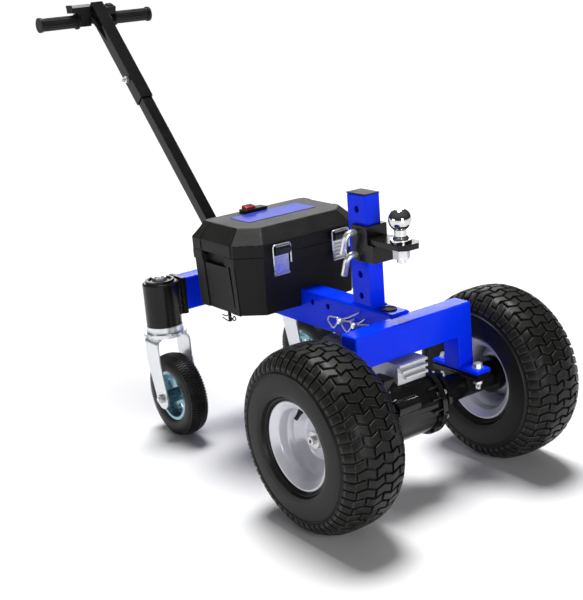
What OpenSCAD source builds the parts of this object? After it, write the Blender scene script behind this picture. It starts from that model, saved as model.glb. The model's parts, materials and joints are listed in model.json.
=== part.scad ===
// Electric trailer dolly: two driven turf wheels under a front beam, a spine with a hitch post,
// a battery case astride the spine, two casters on a rear crossbar and a raked pull handle.
// X points forward to the hitch ball, Y to the left, Z up. Sizes are in millimetres.

/* [Drive wheels] */
// Outside diameter of a drive tyre
tyre_od = 381; // [365:1:395]
// Section width of a drive tyre
tyre_w = 152; // [140:1:158]
// Distance between the middles of the drive tyres
track = 492; // [486:1:530]
// Diameter over the flanges of a drive rim
rim_od = 184; // [174:1:196]
// Width over the flanges of a drive rim
rim_w = 124; // [114:1:130]
// Sheet thickness of a drive rim
rim_t = 4; // [3:0.5:6]
// Diameter of a drive half-shaft
shaft_d = 25; // [20:1:30]

/* [Front beam and axle] */
// Gap between an end of the front beam and the tyre beside it
beam_tyre_gap = 12; // [8:1:20]
// Depth of the front beam, fore and aft
beam_d = 48; // [40:1:60]
// Height of the front beam's cross tube
beam_h = 71; // [60:1:80]
// Width of a beam leg
leg_w = 40; // [32:1:50]
// Height of the front beam's top above the ground
beam_top = 375; // [360:1:380]
// Thickness of a foot plate
foot_t = 10; // [8:1:14]
// Length of a foot plate, fore and aft
foot_l = 134; // [120:1:150]
// Outside diameter of the axle tube
axle_tube_d = 58; // [50:1:64]

/* [Frame] */
// Height of the spine's top above the ground
spine_top = 380; // [375:1:395]
// Height of the spine tube
spine_h = 80; // [70:1:84]
// Width of the spine tube
spine_w = 50; // [46:1:56]
// Wall of the frame tubes
tube_wall = 4; // [3:0.5:6]
// How far the crossbar's middle lies behind the drive axle
crossbar_back = 655; // [640:1:690]
// Depth of the crossbar tube, fore and aft
crossbar_d = 50; // [44:1:60]
// Diameter of the open holes in the spine
spine_hole_d = 13; // [10:0.5:16]

/* [Hitch] */
// Height of the post's top above the ground
post_top = 619; // [600:1:660]
// How far the post's middle lies behind the drive axle
post_back = 127; // [120:1:140]
// Depth of the post tube, fore and aft
post_d = 60; // [54:1:66]
// Width of the post tube
post_w = 40; // [36:1:44]
// Diameter of the pin holes through the post
post_hole_d = 15; // [13:0.5:18]
// Distance between the pin holes
post_pitch = 46.6; // [44:0.2:48]
// Diameter of the hitch ball
ball_d = 47.6; // [45:0.1:51]
// Thickness of the ball plate
plate_t = 12; // [10:1:16]

/* [Casters] */
// Diameter of a caster tyre
caster_od = 204; // [190:1:214]
// Width of a caster tyre
caster_w = 50; // [44:1:54]
// How far the caster wheel's axle lies from its swivel axis
caster_trail = 30; // [20:1:40]
// Distance from the middle of the dolly to a swivel axis
caster_y = 203.5; // [195:0.5:225]
// Diameter of a caster housing
housing_d = 85; // [78:1:92]
// Diameter of a caster kingpin
kingpin_d = 24; // [20:1:28]
// Diameter of a caster axle bolt
caster_axle_d = 12; // [10:1:16]

/* [Battery case] */
// Length of the case across the dolly
case_l = 340; // [330:1:360]
// Depth of the case, fore and aft
case_d = 216; // [208:1:230]
// How far the case's front lies behind the drive axle
case_back = 328; // [320:1:340]
// Height of the case's underside above the ground
case_bottom = 340; // [335:1:350]
// Height of the seam between case and lid above the ground
seam_z = 475; // [468:1:482]
// Height of the lid's top above its seam
lid_h = 59; // [55:1:66]
// Height of the lid's upright band
lid_band = 27; // [22:1:32]
// Cut of the case's upright front corners
case_cut = 46; // [40:1:54]
// Cut of the case's upright rear corners
rear_cut = 10; // [6:1:20]
// Wall of the case and lid
case_wall = 4; // [3:0.5:5]

/* [Handle] */
// Rake of the handle above level, in degrees
handle_rake = 48; // [44:1:56]
// Side of the inner handle tube
inner_side = 30; // [26:1:32]
// Side of the outer handle sleeve
sleeve_side = 36; // [36:1:42]
// Distance along the handle from the crossbar to the sleeve's lower end
sleeve_start = 515; // [480:1:560]
// Length of the sleeve
sleeve_l = 325; // [300:1:360]
// Length of the inner tube above the crossbar
inner_l = 760; // [720:1:800]
// Length of the grip bar
bar_l = 332; // [300:1:380]
// Diameter of the grip bar
bar_d = 22; // [19:1:25]
// Diameter of a grip
grip_d = 34; // [30:1:38]

/* [Hidden] */
$fn = 64;
BLUE = "#0b35e0";
BLACK = "#17181a";
SILVER = "#c9ccd0";
GREY = "#54575b";
RUBBER = "#1d1d1e";
eps = 0.01;
seat_gap = 0.2;
run_gap = 0.05;
pin_gap = 0.15;

wheel_r = tyre_od/2;
axle_z = wheel_r;
beam_w = track - tyre_w - 2*beam_tyre_gap;
beam_front = 16;
beam_back = beam_front - beam_d;
foot_top = axle_z + axle_tube_d/2 + 2*foot_t;
disc_a = -2;
disc_y = track/2 + disc_a;
disc_t = 6;
hub_flange_t = 8;
hub_flange_y = disc_y - hub_flange_t;
tube_end_y = hub_flange_y - 6;
crossbar_x = -crossbar_back;
spine_bottom = spine_top - spine_h;
spine_rear = crossbar_x + crossbar_d/2;
end_plate_t = 12;
end_plate_y = caster_y - housing_d/2 - end_plate_t;
post_x = -post_back;
first_hole = 31;
hole_z = [for (i = [0:4]) post_top - first_hole - i*post_pitch];
cap_t = 3;
channel_t = 8;
channel_front = post_x + post_d/2 + channel_t;
channel_under = 14;
channel_over = 16;
channel_low = hole_z[2] - channel_under;
channel_high = hole_z[1] + channel_over;
plate_up = 26;
plate_z = hole_z[2] + plate_up;
plate_w = 58;
ball_reach = 73;
ball_x = channel_front + ball_reach;
ball_neck = 21;
ball_z = plate_z + plate_t + ball_neck + ball_d/2;
hitch_pin_play = 0.5;
hitch_pin_d = post_hole_d - 2*hitch_pin_play;
caster_r = caster_od/2;
fork_tyre_gap = 17;
fork_gap = caster_w/2 + fork_tyre_gap;
fork_t = 4;
housing_low = 276;
housing_high = spine_top;
case_front = -case_back;
case_rear = case_front - case_d;
lid_lap = 4;
lid_gap = 0.4;
hinge_back = 12;
hinge_up = 4;
hinge_in = 76;
hinge_x = case_rear - hinge_back;
hinge_z = seam_z + hinge_up;
hinge_r = 5;
hinge_y = case_l/2 - hinge_in;
handle_ahead = 7;
handle_x = crossbar_x + handle_ahead;
control_gap = 3;
speed_box_w = 30;
thumb_switch_w = 26;
grip_in = sleeve_side/2 + control_gap + speed_box_w + control_gap;
grip_lip = 4;
grip_lip_d = grip_d + 2*grip_lip;
bar_below = 22;
bar_along = sleeve_start + sleeve_l - bar_below;
bar_drop = sleeve_side/2 + bar_d/2;
bar_x = handle_x - bar_along*cos(handle_rake) - bar_drop*sin(handle_rake);
bar_z = spine_top + bar_along*sin(handle_rake) - bar_drop*cos(handle_rake);
front_reach = wheel_r;
rear_reach = bar_x - grip_lip_d/2;
middle_x = (front_reach + rear_reach)/2;

// Moves the dolly so that the middle of its footprint is at the origin
module placed() translate([-middle_x, 0, 0]) children();

// A cylinder along Y, from y1 to y2
module along_y(d, y1, y2) translate([0, y1, 0]) rotate([-90, 0, 0]) cylinder(d = d, h = y2 - y1);

// A cylinder along X, from x1 to x2
module along_x(d, x1, x2) translate([x1, 0, 0]) rotate([0, 90, 0]) cylinder(d = d, h = x2 - x1);

// A box given by its two corners
module block(low, high) translate(low) cube(high - low);

// A point measured along the handle's axis from the crossbar's top
module on_handle(along) translate([handle_x, 0, spine_top]) rotate([0, handle_rake - 90, 0])
    translate([0, 0, along]) children();

// Mirrors a left-hand piece for the right-hand side
module sided(s) mirror([0, s < 0 ? 1 : 0, 0]) children();

// A wheel's section turned about the Y axis
module wheel_turn() rotate([-90, 0, 0]) rotate_extrude() children();

// The spine: a rectangular tube from the crossbar to the beam
open_hole_x = [-295, -240];
open_hole_down = 24;
open_hole_z = spine_top - open_hole_down;
clip_pin_x = [-186, -139];
clip_pin_down = 44;
clip_pin_z = spine_top - clip_pin_down;
clip_pin_d = 12;
frame_pin_ahead = 28;
frame_pin_x = spine_rear + frame_pin_ahead;
frame_pin_d = 16;
plug_x = (post_x + post_d/2 + beam_back)/2;
plug_d = 28;
module spine() color(BLUE) placed() difference() {
    block([spine_rear, -spine_w/2, spine_bottom], [beam_back, spine_w/2, spine_top]);
    block([spine_rear - 1, -spine_w/2 + tube_wall, spine_bottom + tube_wall],
          [beam_back + 1, spine_w/2 - tube_wall, spine_top - tube_wall]);
    for (x = open_hole_x) translate([x, 0, open_hole_z]) along_y(spine_hole_d, -spine_w, spine_w);
    for (x = clip_pin_x) translate([x, 0, clip_pin_z])
        along_y(clip_pin_d + 2*pin_gap, -spine_w, spine_w);
    translate([frame_pin_x, 0, spine_bottom - 1]) cylinder(d = frame_pin_d + 2*pin_gap, h = spine_h + 2);
    translate([plug_x, 0, spine_top - tube_wall - 1]) cylinder(d = plug_d + 2*pin_gap, h = tube_wall + 2);
}

// The plug in the spine's top, between post and beam
plug_deep = 3;
plug_lip = 3;
plug_lip_h = 3;
plug_dish_in = 2;
module spine_plug() color(BLACK) placed() translate([plug_x, 0, 0]) {
    translate([0, 0, spine_top - tube_wall - plug_deep])
        cylinder(d = plug_d, h = tube_wall + plug_deep + eps);
    translate([0, 0, spine_top]) difference() {
        cylinder(d = plug_d + 2*plug_lip, h = plug_lip_h);
        translate([0, 0, plug_lip_h/2]) cylinder(d = plug_d - 2*plug_dish_in, h = plug_lip_h);
    }
}

// A hairpin clip: an open wire loop that hangs from a pin's end
module hairpin(wire, loop) {
    rotate([90, 0, 0]) rotate_extrude(angle = 300) translate([loop, 0]) circle(d = wire, $fn = 16);
}

// The two clip pins through the spine with their hairpins
clip_wire = 3;
clip_loop = 13;
clip_pin_near = 16;
clip_pin_far = 8;
clip_head_lip = 4;
clip_head_t = 6;
clip_out = 11;
module spine_pins() color(SILVER) placed() for (x = clip_pin_x) translate([x, 0, clip_pin_z]) {
    along_y(clip_pin_d, -spine_w/2 - clip_pin_near, spine_w/2 + clip_pin_far);
    along_y(clip_pin_d + 2*clip_head_lip, spine_w/2 + seat_gap, spine_w/2 + clip_head_t);
    translate([0, -spine_w/2 - clip_out, -clip_loop]) hairpin(clip_wire, clip_loop);
}

// The upright pin that ties the spine to the crossbar, with a ring clip under the spine
frame_pin_down = 24;
frame_head_lip = 5;
frame_head_t = 6;
ring_down = 14;
ring_wire = 3;
ring_r = 9;
ring_leg = 26;
module frame_pin() color(BLACK) placed() translate([frame_pin_x, 0, 0]) {
    translate([0, 0, spine_bottom - frame_pin_down]) cylinder(d = frame_pin_d, h = spine_h + frame_pin_down);
    translate([0, 0, spine_top + seat_gap]) cylinder(d = frame_pin_d + 2*frame_head_lip, h = frame_head_t);
    translate([0, 0, spine_bottom - ring_down]) {
        translate([-ring_leg, 0, 0]) rotate([0, 90, 0]) cylinder(d = ring_wire, h = 2*ring_leg, $fn = 16);
        translate([ring_leg + ring_r - 1, 0, 0]) rotate([90, 0, 0]) rotate_extrude()
            translate([ring_r, 0]) circle(d = ring_wire, $fn = 16);
    }
}

// The front beam: a cross tube on two legs with foot plates
module front_beam() color(BLUE) placed() {
    difference() {
        union() {
            block([beam_back, -beam_w/2, beam_top - beam_h], [beam_front, beam_w/2, beam_top]);
            for (s = [-1, 1]) beam_leg(s);
        }
        block([beam_back + tube_wall, -beam_w/2 + tube_wall, beam_top - beam_h + tube_wall],
              [beam_front - tube_wall, beam_w/2 - tube_wall, beam_top - tube_wall]);
    }
}
foot_bolt_edge = 18;
foot_bolt_x = foot_l/2 - foot_bolt_edge;
leg_y = beam_w/2 - leg_w/2;
module beam_leg(s) {
    translate([0, s*leg_y, 0]) {
        difference() {
            block([beam_back, -leg_w/2, foot_top - eps], [beam_front, leg_w/2, beam_top - beam_h + eps]);
            block([beam_back + tube_wall, -leg_w/2 + tube_wall, foot_top],
                  [beam_front - tube_wall, leg_w/2 - tube_wall, beam_top - beam_h]);
        }
        difference() {
            block([-foot_l/2, -leg_w/2, foot_top - foot_t], [foot_l/2, leg_w/2, foot_top]);
            for (x = [-foot_bolt_x, foot_bolt_x]) translate([x, 0, foot_top - foot_t - 1])
                cylinder(d = foot_bolt_d + foot_bolt_play, h = foot_t + 2);
        }
    }
}

// The hitch post: a tube with five pin holes
module hitch_post() color(BLUE) placed() translate([post_x, 0, 0]) difference() {
    block([-post_d/2, -post_w/2, spine_top], [post_d/2, post_w/2, post_top]);
    block([-post_d/2 + tube_wall, -post_w/2 + tube_wall, spine_top - 1],
          [post_d/2 - tube_wall, post_w/2 - tube_wall, post_top + 1]);
    for (z = hole_z) translate([0, 0, z]) along_y(post_hole_d, -post_w, post_w);
}

// The cap on the post's top
cap_plug = 14;
cap_wall = 3;
module post_cap() color(BLACK) placed() translate([post_x, 0, post_top]) {
    block([-post_d/2, -post_w/2, 0], [post_d/2, post_w/2, cap_t]);
    difference() {
        block([-post_d/2 + tube_wall + seat_gap, -post_w/2 + tube_wall + seat_gap, -cap_plug],
              [post_d/2 - tube_wall - seat_gap, post_w/2 - tube_wall - seat_gap, eps]);
        block([-post_d/2 + tube_wall + cap_wall, -post_w/2 + tube_wall + cap_wall, -cap_plug - 1],
              [post_d/2 - tube_wall - cap_wall, post_w/2 - tube_wall - cap_wall, -1]);
    }
}

// The ball mount: a channel round the post's front, a ball plate and a pocket under it
channel_y = post_w/2 + seat_gap;
channel_back = 10;
channel_rear = post_x - channel_back;
pocket_l = 19;
pocket_wall = 6;
pocket_gap = 2;
plate_edge = 14.2;
plate_root = 22;
plate_flare = 30;
plate_cut = 16;
plate_tip = ball_x + ball_d/2 + plate_edge;
shank_d = 19;
module ball_mount() color(BLACK) placed() difference() {
    union() {
        block([channel_front - channel_t + seat_gap, -channel_y - channel_t, channel_low],
              [channel_front, channel_y + channel_t, channel_high]);
        for (s = [-1, 1]) translate([0, s*(channel_y + channel_t/2), 0])
            block([channel_rear, -channel_t/2, channel_low],
                  [channel_front - eps, channel_t/2, channel_high]);
        translate([0, 0, plate_z]) linear_extrude(plate_t) ball_plate_outline();
        difference() {
            block([channel_front - eps, -channel_y - channel_t, channel_low],
                  [channel_front + pocket_l, channel_y + channel_t, plate_z - pocket_gap]);
            block([channel_front, -channel_y, channel_low + pocket_wall],
                  [channel_front + pocket_l - pocket_wall, channel_y, plate_z]);
        }
    }
    for (i = [1, 2]) translate([post_x, 0, hole_z[i]]) along_y(post_hole_d, -post_w, post_w);
    translate([ball_x, 0, plate_z - 1]) cylinder(d = shank_d + 2*seat_gap, h = plate_t + 2);
}
module ball_plate_outline() polygon([
    [channel_front - eps, -plate_root], [channel_front + plate_flare, -plate_w/2],
    [plate_tip - plate_cut, -plate_w/2], [plate_tip, -plate_w/2 + plate_cut],
    [plate_tip, plate_w/2 - plate_cut], [plate_tip - plate_cut, plate_w/2],
    [channel_front + plate_flare, plate_w/2], [channel_front - eps, plate_root]]);

// The hitch ball with its neck, collar and shank
ball_flat = 2.2;
collar_d = 44;
collar_h = 6;
flare_d = [36, 26];
flare_h = 6;
neck_d = 25;
shank_down = 32;
module hitch_ball() color(SILVER) placed() translate([ball_x, 0, plate_z]) {
    intersection() {
        translate([0, 0, ball_z - plate_z]) sphere(d = ball_d);
        translate([0, 0, plate_t]) cylinder(d = ball_d + 2, h = ball_neck + ball_d - ball_flat);
    }
    translate([0, 0, plate_t + collar_h]) cylinder(d1 = flare_d[0], d2 = flare_d[1], h = flare_h);
    translate([0, 0, plate_t]) cylinder(d = collar_d, h = collar_h + eps);
    translate([0, 0, plate_t + collar_h + flare_h - 1]) cylinder(d = neck_d, h = ball_neck);
    translate([0, 0, -shank_down]) cylinder(d = shank_d, h = plate_t + shank_down + eps);
}

// The nut and washer under the ball plate
ball_washer_d = 40;
ball_washer_t = 5;
ball_nut_d = 36;
ball_nut_h = 18;
module ball_nut() color(SILVER) placed() translate([ball_x, 0, plate_z]) difference() {
    union() {
        translate([0, 0, -ball_washer_t]) cylinder(d = ball_washer_d, h = ball_washer_t);
        translate([0, 0, -ball_washer_t - ball_nut_h])
            cylinder(d = ball_nut_d, h = ball_nut_h + eps, $fn = 6);
    }
    translate([0, 0, -ball_washer_t - ball_nut_h - 1])
        cylinder(d = shank_d + 2*pin_gap, h = ball_washer_t + ball_nut_h + 3);
}

// The two bent hitch pins with their clips
pin_bend_r = 14;
pin_tail = 32;
pin_lean = 20;
pin_stick = 8;
pin_clip_out = 2;
pin_out = channel_y + channel_t + pin_stick;
bend_inset = 0.3;
bend_lap = 3;
module hitch_pins() color(SILVER) placed() for (i = [1, 2]) translate([post_x, 0, hole_z[i]]) {
    along_y(hitch_pin_d, -pin_out, pin_out + pin_stick);
    rotate([0, pin_lean, 0]) translate([0, -pin_out, -pin_bend_r]) {
        rotate([90, 0, 90]) rotate([0, 0, 90 - bend_lap]) rotate_extrude(angle = 90 + 2*bend_lap)
            translate([pin_bend_r, 0]) circle(d = hitch_pin_d - bend_inset);
        translate([0, -pin_bend_r, -pin_tail]) cylinder(d = hitch_pin_d, h = pin_tail);
    }
    translate([0, pin_out + pin_clip_out, -clip_loop]) hairpin(clip_wire, clip_loop);
}

// The transaxle: a gear case with a seam flange and a shaft boss, axle tubes and mounting pads
gear_r = 66;
gear_y = [-104, 62];
seam_y = 20;
seam_t = 12;
seam_lip = 8;
neck_r = 50;
ring_t = 9;
boss_d = 34;
boss_l = 56;
boss_at = [58, 0, 30];
bridge_low = [-22, -100, 40];
bridge_size = [46, 30, 40];
pad_sink = 4;
rib_t = 5;
rib_count = 3;
gear_rib_l = 30;
gear_rib_turn = 20;
gear_rib_deep = 10;
gear_round = 18;
neck_step = 8;
pad_web_in = 6;
tube_flange_lip = 11;
tube_flange_d = axle_tube_d + 2*tube_flange_lip;
tube_flange_t = 16;
module gear_case_turn() wheel_turn() polygon([
    [0, gear_y[0]], [gear_r - gear_round, gear_y[0]], [gear_r - 0.3*gear_round, gear_y[0] + 0.3*gear_round],
    [gear_r, gear_y[0] + gear_round],
    [gear_r, seam_y - seam_t/2], [gear_r + seam_lip, seam_y - seam_t/2],
        [gear_r + seam_lip, seam_y + seam_t/2],
    [gear_r - neck_step, seam_y + seam_t/2], [neck_r - neck_step, gear_y[1] - ring_t],
        [neck_r, gear_y[1] - ring_t],
    [neck_r, gear_y[1]], [0, gear_y[1]]]);
module transaxle() color(BLACK) placed() translate([0, 0, axle_z]) difference() {
    union() {
        gear_case_turn();
        translate([boss_at.x, gear_y[0], boss_at.z]) along_y(boss_d, 0, boss_l);
        translate(bridge_low) cube(bridge_size);
        for (i = [0:rib_count - 1]) rotate([0, -gear_rib_turn*i, 0])
            block([gear_r - gear_rib_deep, seam_y - gear_rib_l, -rib_t/2],
                  [gear_r + seam_lip - 1, seam_y, rib_t/2]);
        along_y(axle_tube_d, -tube_end_y, tube_end_y);
        for (s = [-1, 1]) {
            translate([0, s*leg_y, 0]) block([-foot_l/2, -leg_w/2, axle_tube_d/2 - pad_sink],
                                             [foot_l/2, leg_w/2, axle_tube_d/2 + foot_t]);
            translate([0, s*leg_y, 0]) block([-axle_tube_d/2, -leg_w/2 + pad_web_in, 0],
                                             [axle_tube_d/2, leg_w/2 - pad_web_in, axle_tube_d/2]);
            translate([0, s*(tube_end_y - tube_flange_t/2), 0])
                along_y(tube_flange_d, -tube_flange_t/2, tube_flange_t/2);
        }
    }
    along_y(shaft_d + 2*run_gap, -tube_end_y - 1, tube_end_y + 1);
    for (s = [-1, 1], x = [-foot_bolt_x, foot_bolt_x]) translate([x, s*leg_y, axle_tube_d/2 - pad_sink - 2])
        cylinder(d = foot_bolt_d + foot_bolt_play, h = foot_t + pad_sink + 4);
}

// The bolts that hold the foot plates to the axle's pads
foot_bolt_d = 12;
foot_bolt_play = 0.6;
foot_washer_t = 2.5;
foot_head_h = 8;
foot_nut_lip = 4.5;
foot_nut_h = 10;
foot_stud = 26;
module foot_bolts() color(SILVER) placed() for (s = [-1, 1], x = [-foot_bolt_x, foot_bolt_x])
    translate([x, s*leg_y, foot_top]) {
        translate([0, 0, seat_gap]) cylinder(d = 2*foot_bolt_d, h = foot_washer_t);
        translate([0, 0, seat_gap + foot_washer_t - eps])
            cylinder(d = foot_bolt_d + 2*foot_nut_lip, h = foot_head_h, $fn = 6);
        translate([0, 0, -2*foot_t - foot_stud]) cylinder(d = foot_bolt_d, h = 2*foot_t + foot_stud + 1);
        translate([0, 0, -2*foot_t - pad_sink - seat_gap - foot_nut_h])
            cylinder(d = foot_bolt_d + 2*foot_nut_lip, h = foot_nut_h, $fn = 6);
    }

// The finned bell that joins the motor to the gear case
bell_back = 16;
bell_ahead = 26;
bell_drop = 24;
bell_spine_gap = 4;
bell_x = [-gear_r - bell_back, bell_ahead];
bell_y = [-64, 12];
bell_low = axle_z + gear_r - bell_drop;
bell_high = spine_bottom - bell_spine_gap;
fin_step = 8;
fin_count = 3;
fin_out = 8;
fin_t = 6;
fin_pitch = 14;
module motor_bell() color(SILVER) placed() difference() {
    union() {
        block([bell_x[0], bell_y[0], bell_low], [bell_x[1], bell_y[1], bell_high]);
        for (i = [0:fin_count - 1]) translate([0, 0, bell_high - i*fin_pitch - fin_t])
            block([bell_x[1] - 1, bell_y[0] + fin_step*i, 0], [bell_x[1] + fin_out, bell_y[1], fin_t]);
    }
    translate([0, 0, axle_z]) along_y(2*gear_r + 2*seat_gap, bell_y[0] - 1, bell_y[1] + 1);
}

// The motor under the spine
motor_d = 84;
motor_l = 150;
motor_cap_l = 12;
motor_tail_l = 8;
motor_cap_in = 4;
motor_z = bell_high - motor_d/2;
module drive_motor() color(GREY) placed() translate([0, (bell_y[0] + bell_y[1])/2, motor_z]) {
    along_x(motor_d, bell_x[0] - motor_l, bell_x[0]);
    translate([bell_x[0] - motor_l, 0, 0]) {
        along_x(motor_d - 2*motor_cap_in, -motor_cap_l, eps);
        along_x(motor_d/3, -motor_cap_l - motor_tail_l, -motor_cap_l + eps);
    }
}

// The crossbar: a tube between the casters
module rear_crossbar() color(BLUE) placed() translate([crossbar_x, 0, 0]) difference() {
    block([-crossbar_d/2, -end_plate_y, spine_bottom], [crossbar_d/2, end_plate_y, spine_top]);
    block([-crossbar_d/2 + tube_wall, -end_plate_y - 1, spine_bottom + tube_wall],
          [crossbar_d/2 - tube_wall, end_plate_y + 1, spine_top - tube_wall]);
}

// A caster housing: a bored barrel on an end plate
housing_ring_in = 8;
housing_ring_d = housing_d - 2*housing_ring_in;
housing_ring_h = 6;
housing_ring_w = 7;
housing_floor = 2;
end_plate_lip = 4;
end_plate_under = 6;
end_plate_over = 3;
housing_web = 18;
housing_edge = 3;
module caster_housing(s) color(BLACK) placed() translate([crossbar_x, s*caster_y, 0]) sided(s) difference() {
    union() {
        translate([0, 0, housing_low]) rotate_extrude() polygon([
            [0, 0], [housing_d/2, 0], [housing_d/2, housing_high - housing_low - housing_edge],
            [housing_d/2 - housing_edge, housing_high - housing_low], [0, housing_high - housing_low]]);
        translate([0, 0, housing_high - eps]) difference() {
            cylinder(d = housing_ring_d, h = housing_ring_h);
            translate([0, 0, housing_floor]) cylinder(d = housing_ring_d - 2*housing_ring_w,
                                                      h = housing_ring_h);
        }
        translate([0, -housing_d/2, 0]) {
            block([-crossbar_d/2 - end_plate_lip, -end_plate_t, spine_bottom - end_plate_under],
                  [crossbar_d/2 + end_plate_lip, 0, spine_top + end_plate_over]);
            block([-crossbar_d/2, 0, spine_bottom - end_plate_under],
                  [crossbar_d/2, housing_web, spine_top - 2]);
        }
    }
    translate([0, 0, housing_low - 1]) cylinder(d = kingpin_d + 2*run_gap,
                                                h = housing_high - housing_low + 10);
}
module caster_housing_right() caster_housing(-1);
module caster_housing_left() caster_housing(1);

// A caster fork: kingpin, two swivel rings and a pressed arch whose legs lean forward to the axle
swivel_h = 24;
swivel_ring_h = 8;
crown_z = housing_low - swivel_h;
swivel_gap = 1;
swivel_d = [106, 90];
fork_w = 2*(fork_gap + fork_t);
fork_l = 57;
fork_lean = 5;
shoulder_r = 20;
leg_end_r = 26;
leg_bend = 60;
leg_spread = 4;
nut_rest = 0.6;
nut_z = housing_high + housing_floor + nut_rest;
nut_h = 9;
nut_lip = 6;
king_stick = 3;
// The arch's outline across the fork, w wide and top high with round shoulders
module arch(w, top, r) {
    translate([-w/2, 0]) square([w, top - r]);
    translate([-w/2 + r, 0]) square([w - 2*r, top]);
    for (t = [-1, 1]) translate([t*(w/2 - r), top - r]) circle(r);
}
// The legs' outline from the side, from the crown down to the round end at the axle
module leg_outline() {
    polygon([[-fork_l/2 + fork_lean, crown_z + 1], [-fork_l/2 + fork_lean, crown_z - leg_bend],
             [caster_trail - leg_end_r, caster_r], [caster_trail + leg_end_r, caster_r],
             [fork_l/2 + fork_lean + leg_spread, crown_z - leg_bend], [fork_l/2 + fork_lean, crown_z + 1]]);
    translate([caster_trail, caster_r]) circle(leg_end_r);
}
module caster_fork(s) color(SILVER) placed() translate([crossbar_x, s*caster_y, 0]) difference() {
    union() {
        translate([0, 0, crown_z - fork_t]) cylinder(d = kingpin_d,
                                                     h = nut_z + nut_h + king_stick - crown_z + fork_t);
        translate([0, 0, nut_z]) cylinder(d = kingpin_d + 2*nut_lip, h = nut_h, $fn = 6);
        translate([0, 0, crown_z - 1]) cylinder(d = swivel_d[0], h = swivel_ring_h + 1);
        translate([0, 0, crown_z + swivel_ring_h - 1])
            cylinder(d = swivel_d[1], h = swivel_h - swivel_gap - swivel_ring_h + 1);
        intersection() {
            rotate([90, 0, 90]) translate([0, 0, -fork_l]) linear_extrude(2*fork_l) difference() {
                arch(fork_w, crown_z, shoulder_r);
                arch(fork_w - 2*fork_t, crown_z - fork_t, shoulder_r - fork_t);
            }
            rotate([90, 0, 0]) translate([0, 0, -fork_w]) linear_extrude(2*fork_w) leg_outline();
        }
    }
    translate([caster_trail, 0, caster_r]) along_y(caster_axle_d + 2*pin_gap, -fork_w, fork_w);
}
module caster_fork_right() caster_fork(-1);
module caster_fork_left() caster_fork(1);

// A caster's axle bolt with its head and nut
axle_half = fork_gap + fork_t;
axle_stick = 12;
axle_nut_h = 8;
axle_nut_lip = 5;
module caster_axle(s) color(SILVER) placed()
    translate([crossbar_x + caster_trail, s*caster_y, caster_r]) {
        along_y(caster_axle_d, -axle_half - axle_stick, axle_half + axle_stick);
        for (y = [-1, 1]) translate([0, y*(axle_half + seat_gap + axle_nut_h/2), 0]) rotate([90, 0, 0])
            cylinder(d = caster_axle_d + 2*axle_nut_lip, h = axle_nut_h, center = true, $fn = 6);
    }
module caster_axle_right() caster_axle(-1);
module caster_axle_left() caster_axle(1);

// The height of a tyre's side above its bead where it is widest, as a part of the whole section
side_part = 0.42;

// A tyre's outer radius at the distance u from its middle plane
function crown(r_in, r_out, w_out, power, u) = let (mid = r_in + (r_out - r_in)*side_part)
    mid + (r_out - mid)*pow(1 - pow(abs(2*u/w_out), power), 1/power);

// A round tyre section, bulging over the rim's flanges, with its tread floor sunk below the crown
function tyre_section(r_in, r_flange, r_out, w_in, w_flange, w_out, power, sunk) =
    let (mid = r_in + (r_out - r_in)*side_part,
         side = [for (a = [-30:15:90]) let (q = sin(a))
             [mid + (q < 0 ? mid - r_in : r_out - mid)*sign(q)*pow(abs(q), 2/power) - (a > 35 ? sunk : 0),
              w_out/2*pow(abs(cos(a)), 2/power)]])
    concat([[r_in, w_in/2], [r_flange, w_flange/2]], side,
           [for (i = [len(side) - 2:-1:0]) [side[i].x, -side[i].y]], [[r_flange, -w_flange/2],
                                                                      [r_in, -w_in/2]]);

// One ring of tread blocks between the distances u1 and u2, with its cross grooves turned by part of a row
module tread_ring(r_in, r_out, w_out, power, u1, u2, rows, depth, groove, turned) {
    low = min(crown(r_in, r_out, w_out, power, u1), crown(r_in, r_out, w_out, power, u2)) - depth;
    difference() {
        wheel_turn() polygon(concat(
            [for (u = [u1, (u1 + u2)/2, u2]) [crown(r_in, r_out, w_out, power, u), u]],
            [[low - depth, u2], [low - depth, u1]]));
        for (i = [0:rows - 1]) rotate([0, (i + turned)*360/rows, 0])
            block([low - depth/2, u1 - 1, -groove/2], [r_out + 1, u2 + 1, groove/2]);
    }
}

// All the tread rings, side by side with a groove between them, each turned half a row from the next
module tread(r_in, r_out, w_out, power, half, rings, rows, depth, groove) {
    pitch = 2*half/rings;
    for (j = [0:rings - 1]) let (u1 = -half + j*pitch)
        tread_ring(r_in, r_out, w_out, power, u1 + groove/2, u1 + pitch - groove/2, rows, depth, groove,
                   (j % 2)/2);
}

// A drive tyre with a low brick tread that runs out over the shoulders
bead_r = 76;
flange_h = rim_od/2 - bead_r;
rim_edge = rim_w/2;
seat_a = rim_edge - rim_t - 0.75*flange_h;
tyre_power = 3;
tread_edge = 8;
tread_half = tyre_w/2 - tread_edge;
tread_rings = 5;
tread_rows = 33;
tread_depth = 5.5;
tread_groove = 5;
module drive_tyre(s) color(RUBBER) placed() translate([0, s*track/2, axle_z]) {
    wheel_turn() polygon(tyre_section(bead_r + seat_gap, rim_od/2 + seat_gap, wheel_r, 2*(seat_a - 1),
                                      2*(rim_edge - rim_t - 1), tyre_w, tyre_power, tread_depth));
    tread(bead_r + seat_gap, wheel_r, tyre_w, tyre_power, tread_half, tread_rings, tread_rows, tread_depth,
          tread_groove);
}
module drive_tyre_right() drive_tyre(-1);
module drive_tyre_left() drive_tyre(1);

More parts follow.
